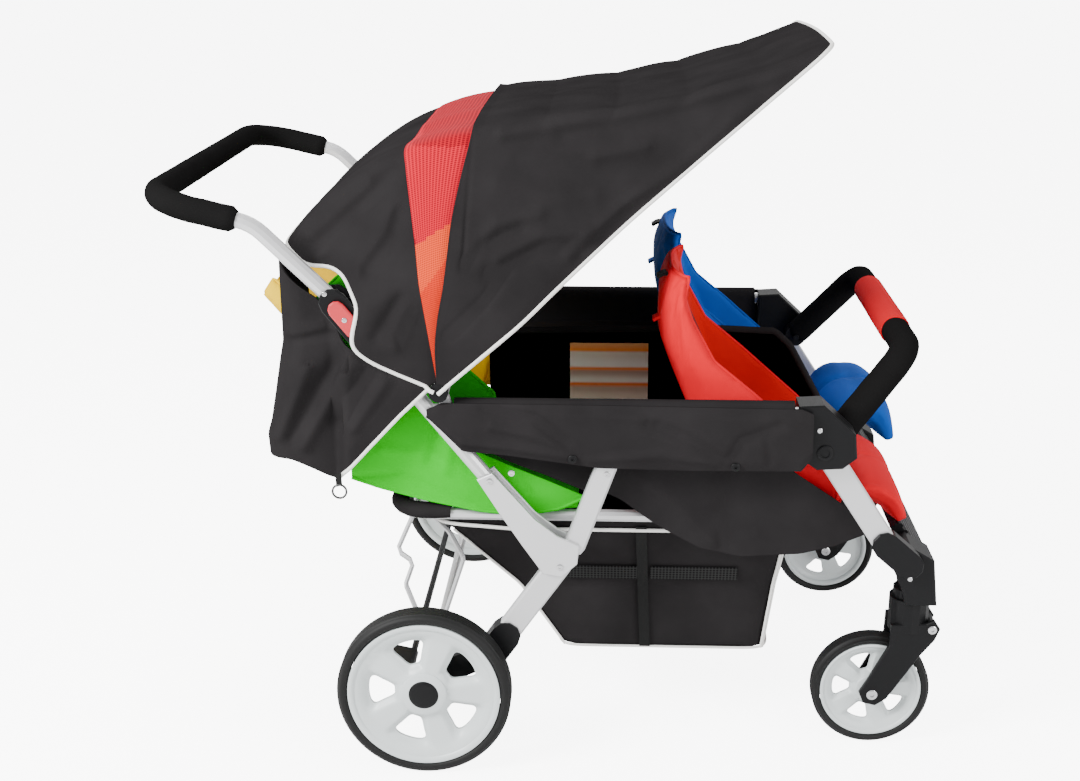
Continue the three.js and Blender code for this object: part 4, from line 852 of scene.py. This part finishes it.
def seat_pad(colour, part, node, body, size, place, thickness, folds, rounding=0):
    """A pad of one seat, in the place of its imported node."""
    name = f"{colour}_{part}_pad"
    replaced = (f"{colour}_{node}",)
    obj, mid = cloth(name, body, seat_cloth[colour], size, place, thickness, folds, replaced, rounding)
    return obj, mid


def seat_back(colour, place, thickness, folds, middle, depth_at, angle=0.0):
    """A bucket back whose inside is in a second tone, partly painted shade, and a cord along its wings and
    top.
    """
    body = f"{colour}_back"
    obj, mid = seat_pad(colour, "back", "seat_back", body, (88, 96), place, thickness, folds, 3)
    puffed(obj, 5, back_seams(mid))
    tone_and_shade_inside(obj, colour, middle, depth_at, angle)
    edge = np.concatenate([mid[:, 0], mid[-1, 1:-1], mid[::-1, -1]])
    tube(f"{colour}_back_piping", body, seat_cloth[colour], evenly(edge, 6), 2.2, 8)


def front_seat(colour, s):
    body = f"{colour}_back"
    place, thickness = bucket(286, 16, (375.6, 716), BACK_LINE, WING_LINE)

    def placed(u, v):
        return place(u, v) * np.array([1, s, 1])

    def folds(u, v, p):
        broad = 2.2 * waves(p, 80, 11 + (s > 0), (0.75, 0, -0.65))
        return from_ends(u, 6, 0.2) * (broad + 0.8 * waves(p, 34, 13, (0.6, 0, -0.7)))

    def depth_at(x, z):
        return profile(WING_LINE, z) + 10 - x

    seat_back(colour, placed, thickness, folds, 151 * s, depth_at)
    tab = in_plane(s * 190, [(352, 708), (340, 707), (332, 702)])
    strap(f"{colour}_top_tab", body, tab, 26, thick=4)
    tab = in_plane(s * 190, [(345, 645), (334, 642), (327, 638)])
    strap(f"{colour}_low_tab", body, tab, 24, seat_cloth[colour], 4)
    for k, y in enumerate((112, 180)):
        strap(f"{colour}_harness_{k}", body, bent(in_plane(s * y, HARNESS), 12, 4), 22)


def rear_seat(colour, s, length, angle):
    place, thickness = bucket(268, 16, (9.6, length), REAR_LINE, REAR_WING, REAR_LIFT)
    a = math.radians(angle)
    foot_x, foot_z = REAR_FOOT

    def placed(u, v):
        p = place(u, v)
        x = foot_x + p[..., 0] * math.cos(a) - p[..., 2] * math.sin(a)
        z = foot_z + p[..., 0] * math.sin(a) + p[..., 2] * math.cos(a)
        return np.stack([x, s * p[..., 1], z], -1)

    def folds(u, v, p):
        return from_ends(u, 6, 0.2) * (2.2 * waves(p, 90, 21, (-0.6, 0, 0.75)) + 0.7 * waves(p, 36, 22))

    def depth_at(x, z):
        return 100 - (x - foot_x) * math.cos(a) - (z - foot_z) * math.sin(a)

    seat_back(colour, placed, thickness, folds, 142 * s, depth_at, a)


def seat_cushion(colour, s, x0, x1, y0, y1):
    def thickness(u, v):
        return 11 + 21 * full(u) * full(v) * (1 - 0.3 * near(u, 0.5, 0.035))

    def place(u, v):
        return np.stack([mix(x0, x1, u), s * mix(y0, y1, v), SEAT_FLOOR + thickness(u, v) / 2], -1)

    def folds(u, v, p):
        return np.clip(u * 8, 0, 1) * 0.9 * waves(p, 60, 31)

    obj, mid = seat_pad(colour, "seat", "seat_base", "frame", (44, 60), place, thickness, folds)
    puffed(obj, 5, [mid[0], mid[-1], mid[:, 0], mid[:, -1], mid[22]], lambda p: p[:, 2] < SEAT_FLOOR + 3)
    line = [(mix(x0, x1, share), z) for share, z in ((0.55, 412), (0.62, 440), (0.6, 462))]
    strap(f"{colour}_crotch_strap", "frame", in_plane(s * 150, line), 24)


SLING_LOW = [(-108, 425), (-67, 411), (5, 392), (78, 377), (136, 371), (194, 381), (228, 397)]
SLING_TOP = [(-108, 452), (-70, 496), (-27, 541), (4, 560), (32, 556), (60, 474), (116, 449)]
SLING_TOP += [(172, 426), (228, 402)]


SLING_CREASES = [
    ([(-108, 425), (-37, 435), (64, 385)], 5, -2.2),
    ([(-60, 470), (10, 462), (110, 412)], 9, 1.8),
    ([(137, 440), (151, 409)], 6, -2.0),
    ([(23, 515), (7, 454)], 7, -2.6),
    ([(40, 500), (30, 440)], 8, 1.8),
]


def side_sling(colour, side):
    """The seat's outer cloth, which hangs over the seat frame in long folds."""
    s = SIDES[side]

    def place(u, v):
        x = mix(-108, 228, u)
        bulge = 7 * np.sin(np.pi * np.clip(v, 0, 1)) * np.sin(np.pi * u)
        return xyz(x, s * (299 + bulge), mix(profile(SLING_LOW, x), profile(SLING_TOP, x), v))

    def folds(u, v, p):
        return (1.8 * waves(p, 110, 41, (1, 0, -0.15)) + creases(p, SLING_CREASES)) * full(v, 3)

    material = seat_cloth[colour]
    name = f"{colour}_side_sling"
    obj, mid = cloth(name, "frame", material, (84, 40), place, 3.4, folds, (), 2, (0, s, 0))
    hem = tube(f"{colour}_sling_hem", "frame", material, evenly(mid[:, 0], 8), 2.8, 8)


def leg_rest(colour, s, thick, spine, y0, y1, puffs):
    heights = np.array([p[0] for p in spine], float)
    forward = np.array([614.9 + p[1] for p in spine], float)
    at = np.linspace(0, 1, len(spine))

    def spine_point(u):
        fine = np.linspace(0, 1, 41)
        x, z = np.interp(fine, at, forward), np.interp(fine, at, heights)
        line = soften(np.stack([x, z], -1)[:, None, :], 6, 0)[:, 0]
        return np.interp(u, fine, line[:, 0]), np.interp(u, fine, line[:, 1])

    def thickness(u, v):
        channel = 1
        for c in puffs:
            channel = channel * (1 - 0.5 * near(u, c, 0.06))
        seam = 1 - 0.3 * near(v, 0.5, 0.03)
        return 15 + (thick - 15) * full(u, 4) * full(v, 5) * channel * seam

    def place(u, v):
        x, z = spine_point(u)
        return np.stack([x, s * mix(y0, y1, v), z], -1)

    def folds(u, v, p):
        return 1.5 * waves(p, 60, 51, (0.3, 1, 0)) * full(u, 3)

    obj, mid = seat_pad(colour, "leg", "leg_rest", "frame", (56, 60), place, thickness, folds)
    puffed(obj, 6, [mid[0], mid[:, 30]] + [mid[int(56 * c)] for c in puffs], None, 5.0, 5.0)


def dress_seats():
    front_seat("red", -1)
    front_seat("blue", 1)
    rear_seat("green", -1, 362, 37)
    rear_seat("yellow", 1, 424, 56)
    seat_cushion("red", -1, 454, 608, 43, 259)
    seat_cushion("blue", 1, 454, 608, 43, 259)
    seat_cushion("green", -1, 66, 220, 16, 292)
    seat_cushion("yellow", 1, 66, 220, 16, 292)
    side_sling("green", "right")
    side_sling("yellow", "left")
    leg_rest("red", -1, 32, [(382, 0), (402, 22), (394, 46), (382, 66), (356, 80)], 16, 272, ())
    leg_rest("blue", 1, 46, [(382, 0), (426, 26), (434, 62), (416, 90), (378, 106)], 16, 272, (0.48,))


# Panels and basket

PAD_TOP = [(10, 545), (30, 556), (250, 555), (530, 552), (546, 545)]
PAD_LOW = [(10, 538), (60, 486), (118, 481), (252, 463), (380, 461), (532, 462), (546, 480)]
SKIRT_TOP = [(70, 500), (250, 505), (490, 500), (522, 446), (640, 366)]
SKIRT_LOW = [(70, 480), (116, 456), (231, 411), (262, 408), (283, 398), (332, 361)]
SKIRT_LOW += [(398, 324), (456, 311), (543, 316), (593, 329), (640, 350)]
FLAP_PATH = [(346, 549), (342, 556), (333, 558.5), (324, 556), (318.6, 547), (317.4, 520), (317.4, 482)]
PAD_CREASES = [
    ([(92, 551), (162, 537), (213, 491)], 8, -3.4),
    ([(102, 525), (169, 511), (213, 491)], 8, 3.0),
    ([(321, 532), (380, 506), (431, 471)], 9, -3.2),
    ([(431, 471), (449, 507), (500, 530)], 9, -3.0),
    ([(483, 515), (489, 475)], 7, -2.0),
    ([(197, 570), (252, 549), (321, 535)], 9, 2.6),
    ([(60, 500), (140, 490), (214, 478)], 7, 1.6),
    ([(240, 474), (340, 486), (441, 469)], 8, 1.8),
]
SKIRT_CREASES = [
    ([(300, 440), (350, 400), (420, 330)], 9, 2.4),
    ([(420, 440), (440, 390), (430, 330)], 10, -2.2),
    ([(500, 440), (540, 390), (600, 340)], 9, 2.4),
    ([(340, 440), (400, 380), (470, 350)], 9, -1.8),
]


def side_pad(side, s):
    """The padded panel over a side rail, with its seam and snaps."""

    def place(u, v):
        x = mix(11, 546, u)
        lean = 3 * np.sin(np.pi * np.clip(v, 0, 1))
        return xyz(x, s * (348.4 + lean), mix(profile(PAD_LOW, x), profile(PAD_TOP, x), v))

    def folds(u, v, p):
        lift = 1.8 * waves(p, 110, 61, (1, 0, 0.1)) + 1.2 * waves(p, 50, 62, (1, 0, -0.3))
        return np.maximum(-1.5, lift + creases(p, PAD_CREASES) + 2.2) * from_ends(v, 5, 0.1)

    def depth(u, v):
        return 4 + 4 * full(v, 4) * np.minimum(1, full(u, 8) + 0.3)

    name, node = f"side_pad_cloth_{side}", f"side_pad_{side}"
    obj, mid = black_panel(name, "frame", (190, 40), place, depth, folds, node, 0, (0, s, 0))
    tube(f"side_pad_seam_{side}", "frame", black_cloth, evenly(mid[:, 2], 8), 2, 6)
    for k, (x, z) in enumerate(((214, 478), (441, 469))):
        bolt(f"snap_{k}_{side}", "frame", black_plastic, (x, s * 355.5, z), 6, 3, s, 0.35)


def side_flap(side, s):
    """The side pad's inner cloth, which comes down from the rail's top between the rail and the seats."""
    path = np.array(FLAP_PATH, float)
    d = distances(path)

    def place(u, v):
        at = v * d[-1]
        return xyz(mix(48, 521, u), s * np.interp(at, d, path[:, 0]), np.interp(at, d, path[:, 1]))

    name = f"side_pad_flap_{side}"
    obj, _ = black_panel(name, "frame", (60, 34), place, 2.4, None, None, 2, (0, s, 0))


def side_skirt(side, s):
    """The cloth between a side pad and the seat frame. Its folds end before the front crown's path."""

    def place(u, v):
        x = mix(74, 638, u)
        return xyz(x, s * 297.6, mix(profile(SKIRT_LOW, x), profile(SKIRT_TOP, x), v))

    def folds(u, v, p):
        lift = 2.4 * waves(p, 120, 71, (0.5, 0, 1)) + 0.9 * waves(p, 50, 72, (0.7, 0, 0.7))
        lift = np.maximum(0, 2.6 + (lift + creases(p, SKIRT_CREASES)))
        return lift * (1 - 0.5 * v) * np.minimum(1, 6 * u + 0.1) * ease((0.84 - u) / 0.2)

    name, node = f"side_skirt_cloth_{side}", f"side_skirt_{side}"
    obj, mid = black_panel(name, "frame", (150, 46), place, 2.4, folds, node, 0, (0, s, 0))
    hem = tube(f"side_skirt_hem_{side}", "frame", black_cloth, evenly(mid[:, 0], 8), 1.3, 6)


def side_panels():
    for side, s in SIDES.items():
        side_pad(side, s)
        side_flap(side, s)
        side_skirt(side, s)


def divider():
    base, top = 375.5, [(70, 566), (426, 573), (525, 569), (550, 546), (600, 455), (632, 424)]
    low = [(62, base), (594, base), (632, 418)]

    def place(u, v):
        x = mix(70, 632, u)
        return xyz(x, 0.0, mix(profile(low, x), profile(top, x), v))

    def folds(u, v, p):
        return 1.6 * waves(p, 150, 81, (0.2, 0, 1)) * full(v, 3)

    _, mid = black_panel("centre_divider_cloth", "frame", (120, 44), place, 10, folds, "centre_divider")
    tube("divider_hem", "frame", black_cloth, evenly(mid[:, -1], 8), 5.5, 10)

    def panel(u, v):
        return xyz(mix(200, 325, u), -7.6, mix(PANEL_FOOT, PANEL_TOP, v))

    def panel_folds(u, v, p):
        return 0.8 * waves(p, 120, 82)

    cloth("divider_panel", "frame", panel_stripes, (12, 12), panel, 1.2, panel_folds)


BASKET_FLOOR = 118
BASKET_TOP = 356.7
RIM_SAG = [(-2, 350), (70, 345), (142, 338), (245, 325), (311, 325), (355, 330), (450, 344), (546, 351)]
REAR_EDGE = [(0, 195), (0.45, 122), (1, -2)]
SIDE_EDGE = [(0, 226), (0.48, 234), (1, 285)]


def basket_ring(t, inset, sides=160):
    """A level ring of the basket: t is 0 at its floor and 1 at its rim."""
    x0, x1 = profile(REAR_EDGE, t) + inset, mix(509, 546, t) - inset
    half = profile(SIDE_EDGE, t) - inset
    a = 2 * math.pi * (np.arange(sides) + 0.5) / sides
    c, s, square = np.cos(a), np.sin(a), 0.14
    x = (x0 + x1) / 2 + np.sign(c) * np.abs(c) ** square * (x1 - x0) / 2
    y = np.sign(s) * np.abs(s) ** square * half
    return np.stack([x, y, np.full(sides, mix(BASKET_FLOOR, BASKET_TOP, t))], -1)


def basket_share(z):
    """How high z lies between the basket's floor and its rim, from 0 to 1."""
    return (z - BASKET_FLOOR) / (BASKET_TOP - BASKET_FLOOR)


def basket():
    levels = np.linspace(0, 1, 26)
    outer = [basket_ring(0, 12)] + [basket_ring(max(t, 0.03), 0) for t in levels[1:]]
    inner = [basket_ring(max(t, 0.03), 2.4) for t in levels[:0:-1]] + [basket_ring(0, 14) + [0, 0, 2.6]]
    rings = np.array(outer + inner)
    centre = rings.mean(1, keepdims=True)
    outward = rings - centre
    outward[..., 2] = 0
    outward /= np.linalg.norm(outward, axis=-1, keepdims=True)
    height = basket_share(rings[..., 2])
    folds = 3.2 * waves(rings, 140, 91, (0.2, 0.2, 1)) * full(np.clip(height, 0, 1), 3)
    rings = rings + outward * (folds - 2)[..., None]
    faces = ring_faces(*rings.shape[:2])
    obj = make("basket_cloth", rings.reshape(-1, 3), faces, black_cloth, "frame")
    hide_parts("basket")
    drop = profile(RIM_SAG, basket_ring(1, 0)[:, 0])
    rim = np.array([basket_ring(basket_share(z), -2.4)[k] for k, z in enumerate(drop)])
    sewn = [tube("basket_rim_piping", "frame", white_piping, rim, 2.8, 8, closed=True)]
    foot = basket_ring(0.035, -0.6)
    sewn.append(tube("basket_floor_piping", "frame", white_piping, foot, 2, 8, closed=True))
    for name, a in (("front_left", 0.14), ("rear_left", 0.36), ("rear_right", 0.64), ("front_right", 0.86)):
        for k, shift in enumerate((0, 0.012) if "front" in name else (0,)):
            place = int((a + (shift if "left" in name else -shift)) * 200)
            line = [basket_ring(t, -1.6, 200)[place] for t in np.linspace(0.03, 0.9, 24)]
            sewn.append(tube(f"basket_corner_{name}_{k}", "frame", white_piping, line, 2, 8))
    wrap = bent([(34, 286, 371), (-47, 286, 371), (-47, -286, 371), (34, -286, 371)], 45, 10)
    wrap = evenly(wrap, 8)
    sewn.append(tube("basket_rear_roll", "frame", black_cloth, wrap, 12.5, 18, relief=rough(1.0, 60, 95)))
    for side, s in SIDES.items():
        for k, (x0, x1) in enumerate(((200, 308), (328, 458))):

            def strip(u, v):
                z = mix(246, 270, v)
                return xyz(mix(x0, x1, u), s * (profile(SIDE_EDGE, basket_share(z)) + 1.6), z)

            cloth(f"basket_net_{k}_{side}", "frame", grey_net, (30, 8), strip, 1.2)
        line = []
        for t in np.linspace(0.04, 0.96, 24):
            half = profile(SIDE_EDGE, t) + 2
            line.append((mix(322, 312, t), s * half, mix(BASKET_FLOOR, BASKET_TOP, t)))
        strap(f"basket_strap_{side}", "frame", line, 16, across=(1, 0, 0))


# Canopy

PIVOT = (28, 572)
FOOT = 14
SIDE_WIDTHS = [(0, 346.8), (155, 346.8), (205, 314), (340, 260), (460, 246), (720, 232)]
VISOR_SHOULDERS = [(40.7, 700), (43.5, 610), (49, 516), (57, 442), (68, 388), (80, 356), (90, 346)]
VISOR_REAR = [(60, 92), (146, 85.5), (227, 85.2), (286, 83.8), (340, 82.5), (400, 82)]
HOOD_SHOULDERS = [(76, 362), (80, 350), (100, 322), (120, 303), (138.5, 292)]
HOOD_REAR = [(0, 156), (60, 156), (100, 154.5), (128, 151.5), (141, 148.5), (148, 141), (156, 132)]
HOOD_REAR += [(205, 129.7), (228, 132), (240, 136), (252, 138.5), (400, 138.5)]
BAND_LEFT = 98.8
CROWN = 6
CANOPY_SIDE = 0.35
VISOR_CREASES = [
    ([(84, 930), (193, 951), (303, 964), (384, 991), (478, 1020)], 13, -4.5),
    ([(115, 919), (248, 944), (361, 967), (496, 998)], 11, 4.5),
    ([(200, 915), (330, 935), (470, 975)], 14, -3.0),
    ([(74, 919), (67, 811), (64, 745)], 3, -1.6),
    ([(69, 752), (90, 776), (140, 793)], 9, -3.6),
    ([(80, 770), (110, 800), (165, 812)], 10, 3.0),
    ([(100, 738), (167, 766), (218, 768)], 10, -3.6),
    ([(112, 756), (170, 784), (226, 786)], 9, 3.0),
    ([(208, 761), (277, 818), (363, 872), (453, 952)], 9, 3.4),
    ([(222, 752), (295, 808), (390, 868)], 7, -2.4),
    ([(45, 654), (92, 701), (118, 734)], 9, -3.0),
    ([(244, 887), (313, 900)], 9, 2.6),
    ([(150, 880), (240, 862), (330, 872)], 16, -2.8),
    ([(110, 850), (180, 830), (240, 835)], 14, 2.6),
]
HOOD_CREASES = [
    ([(-158, 762), (-72, 836), (-31, 875)], 13, -4.2),
    ([(-150, 778), (-70, 850)], 10, 3.0),
    ([(-139, 750), (-67, 810)], 10, 3.4),
    ([(-70, 741), (-34, 785), (-28, 811)], 12, -4.0),
    ([(-90, 735), (-55, 790), (-40, 830)], 11, 3.0),
    ([(-55, 653), (-22, 705)], 10, -3.4),
    ([(-30, 640), (-8, 690)], 10, 2.6),
]


def canopy_shell(u, v, angle_at, shoulders, lift, rise):
    """Up one side, over the roof and down the other, lift mm outside the sides and rise mm above the roof."""
    across = np.where(v < 0.5, v, 1 - v)
    sign = np.where(v < 0.5, -1.0, 1.0)
    down = np.clip(across / CANOPY_SIDE, 0, 1)
    top = profile(shoulders, angle_at(u, np.full(u.shape, 400.0))) + rise
    radius = FOOT + (top - FOOT) * down
    angle = angle_at(u, radius)
    t = np.clip((across - CANOPY_SIDE) / (0.5 - CANOPY_SIDE), 0, 1)
    out = radius + CROWN * (1 - (1 - t) ** 2)
    a = np.radians(angle)
    y = sign * (profile(SIDE_WIDTHS, radius) + lift) * (1 - t)
    return np.stack([PIVOT[0] + out * np.cos(a), y, PIVOT[1] + out * np.sin(a)], -1)


def visor_angle(u, radius):
    return mix(40.7, profile(VISOR_REAR, radius), u)


def hood_angle(u, radius):
    return mix(78, profile(HOOD_REAR, radius), u)


def sleeve_bulge(points):
    """The hood's side swells out over each fold lock."""
    d = np.hypot(points[..., 0] + 84, points[..., 2] - 655)
    return 15 * np.exp(-((d / 62) ** 2)) * (np.abs(points[..., 1]) > 300)


def to_pivot(line, short):
    """Takes a canopy edge at both ends over the boss that it turns on, to a point short of its middle."""
    ends = []
    for edge, s in ((line[0], -1), (line[-1], 1)):
        out = np.array([edge[0] - PIVOT[0], 0, edge[2] - PIVOT[1]])
        middle = np.array([PIVOT[0], s * 359.6, PIVOT[1]])
        ends.append([middle + short * out / np.linalg.norm(out), middle + 12.5 * out / np.linalg.norm(out)])
    return np.concatenate([ends[0], line[1:-1], ends[1][::-1]])


def canopy_folds(seed, lines, lowest, highest, hemmed=True):
    """Folds of the canopy. Where the visor passes over the hood, they stay between lowest and highest."""

    def relief(u, v, p):
        across = np.minimum(v, 1 - v)
        on_side = 1 - ease((across - 0.33) / 0.06)
        x, z = p[..., 0] - PIVOT[0], p[..., 2] - PIVOT[1]
        angle = np.degrees(np.arctan2(z, x))
        size = ease(np.hypot(x, z) / 260)
        broad = 2.0 * waves(p, 240, seed, (0.8, 0, 0.6)) + 0.8 * waves(p, 90, seed + 1, (0.75, 0, 0.65))
        roof = 2.6 * waves(p, 200, seed + 2, (0.9, 0.1, 0.3)) * (1 - on_side)
        total = size * (broad + roof) + creases(p, lines) * on_side
        edge = np.minimum(1, 12 * across + 0.1)
        if hemmed:
            edge = edge * from_ends(u, 9, 0.15)
        low = ease((angle - 46) / 6) * (1 - ease((np.hypot(x, z) - 345) / 30))
        lap = np.maximum(low, ease((angle - 74) / 6))
        lap = lap * (1 - ease((angle - 124) / 8))
        total = total * edge
        return mix(total, np.clip(total, lowest, highest), lap)

    return relief


def canopy():
    def visor(u, v):
        return canopy_shell(u, v, visor_angle, VISOR_SHOULDERS, 9, 6)

    folds = canopy_folds(101, VISOR_CREASES, -1.0, 7)
    obj, mid = black_panel("visor_cloth", "visor", (130, 240), visor, 2.4, folds, "canopy_visor", 12)
    edges = [tube("visor_piping", "visor", white_piping, to_pivot(evenly(mid[0], 8), 0), 3, 8)]
    edges.append(tube("visor_rear_hem", "visor", black_cloth, evenly(mid[-1], 8), 1.6, 6))

    def hood(u, v):
        p = canopy_shell(u, v, hood_angle, HOOD_SHOULDERS, 0, 0)
        p[..., 1] += np.sign(p[..., 1]) * sleeve_bulge(p)
        return p

    folds = canopy_folds(111, HOOD_CREASES, -8, 0.8)
    obj, mid = black_panel("hood_cloth", "frame", (110, 240), hood, 2.4, folds, "canopy_hood", 10)
    edges = [tube("hood_piping", "frame", white_piping, to_pivot(evenly(mid[-1], 7), 6.4), 3, 8)]

    def band_angle(u, radius):
        return mix(profile(VISOR_REAR, radius) - 2, BAND_LEFT, u)

    def band(u, v):
        return canopy_shell(u, v, band_angle, HOOD_SHOULDERS, 2, 2)

    folds = canopy_folds(111, HOOD_CREASES, -8, 0.8, False)
    obj, _ = cloth("canopy_band", "frame", red_net, (24, 240), band, 1.2, folds, (), 10)
    for net_cloth in (red_net_painted_light, orange_net, orange_net_painted_light):
        obj.data.materials.append(net_cloth)
    # The band is red above and orange below; the faces that bright picks out get the lighter copies, which
    # are painted light
    for face in obj.data.polygons:
        x, z = 1000 * (face.center.x - AXLE_X), 1000 * face.center.z
        low = z < 762 + 0.62 * (x + 19)
        bright = z > 815 - 1.6 * (x + 25) and z < 900 if not low else z > 690 + 1.3 * (x + 10)
        face.material_index = (2 + bright) if low else int(bright)


APRON_FRONT = [(430, -124), (445, -112), (490, -71), (537, -27), (560, -3), (576, 14), (640, -6)]
APRON_REAR = [(424, -196), (461, -228), (487, -230), (547, -217), (628, -200), (755, -200)]
APRON_TOP = [(0, 574), (0.14, 588), (0.29, 603), (0.43, 619), (0.54, 630), (0.6, 639)]
APRON_TOP += [(0.71, 666), (0.86, 697), (1, 712)]
APRON_CREASES = [
    ([(-193, 489), (-146, 564), (-101, 629)], 13, -5.5),
    ([(-172, 480), (-128, 556), (-90, 618)], 12, 4.5),
    ([(-116, 516), (-89, 565), (-66, 600)], 12, -5.0),
    ([(-92, 520), (-64, 560), (-44, 590)], 10, 3.6),
    ([(-185, 633), (-114, 648), (-99, 662)], 6, -2.4),
    ([(-180, 647), (-137, 658)], 6, 2.2),
    ([(-219, 507), (-185, 625)], 11, -3.6),
    ([(-206, 490), (-160, 600)], 10, 3.4),
]


def apron():
    """The cloth behind and beside the rear seats, outside the main tubes and inside the handle."""
    share, inner_y, outer_y, corner = 7 / 22, 314.2, 345.9, 34

    def place(u, v):
        across = np.where(v < 0.5, v, 1 - v)
        sign = np.where(v < 0.5, -1.0, 1.0)
        t = np.clip(across / share, 0, 1)
        s = np.clip((across - share) / (0.5 - share), 0, 1)
        turn = np.minimum(1, s / 0.25)
        rear_top = mix(755, 505, ease((v - 0.42) / 0.08))
        high = np.where(s > 0, mix(712, rear_top, turn), profile(APRON_TOP, t))
        z = mix(mix(432, 460, t * t), high, u)
        front, rear = profile(APRON_FRONT, z), profile(APRON_REAR, z)
        side_x = mix(front, rear + corner, t)
        side_y = mix(inner_y, outer_y, ease((side_x + 128) / 28))
        x = np.where(s > 0, rear + corner * (1 - np.sin(turn * np.pi / 2)), side_x)
        inward = corner * (1 - np.cos(turn * np.pi / 2))
        y = np.where(s > 0, (inner_y - inward) * (1 - np.clip((s - 0.25) / 0.75, 0, 1)), side_y)
        return np.stack([x, sign * y, z], -1)

    def folds(u, v, p):
        across = np.minimum(v, 1 - v)
        on_side = 1 - ease((across - share) / 0.08)
        calm = from_ends(u, 8, 0.1) * np.minimum(1, 14 * across + 0.1)
        lift = 2.0 * waves(p, 140, 121, (0.5, 0.2, 1)) + 0.8 * waves(p, 60, 122, (0.5, 0, 1))
        lift = lift + creases(p, APRON_CREASES) * on_side
        by_tube = ease((p[..., 0] + 120) / 30) * on_side
        by_lock = on_side * (p[..., 2] > 600) * (1 - by_tube)
        lift = lift + 3.5 * by_tube
        outside = np.where(by_tube > 0.3, np.maximum(lift, 0), lift)
        return calm * np.where(by_lock > 0.1, np.minimum(lift, 0), outside)

    obj, mid = black_panel("apron_cloth", "frame", (90, 300), place, 2.4, folds, "canopy_apron", 5)
    for side, line in (("right", mid[:, 0]), ("left", mid[:, -1])):
        tube(f"apron_piping_{side}", "frame", white_piping, evenly(line, 7), 3, 8)
    tube("apron_hem", "frame", black_cloth, evenly(mid[0], 8), 2.2, 6)
    for side, s in SIDES.items():
        a = np.arange(36) * 2 * math.pi / 36
        ring = np.stack([-119 + 10 * np.cos(a), np.full(36, s * 340.0), 419 + 10 * np.sin(a)], -1)
        tube(f"key_ring_{side}", "frame", dark_steel, ring, 1.7, 8, closed=True)
        line = [(-121, s * 334, 444), (-119, s * 340, 427)]
        strap(f"ring_loop_{side}", "frame", line, 9, across=(1, 0, 0.3))


paint_frame()
set_camera()
set_studio()
dress_wheels()
dress_frame()
dress_foam()
dress_seats()
side_panels()
divider()
basket()
canopy()
apron()
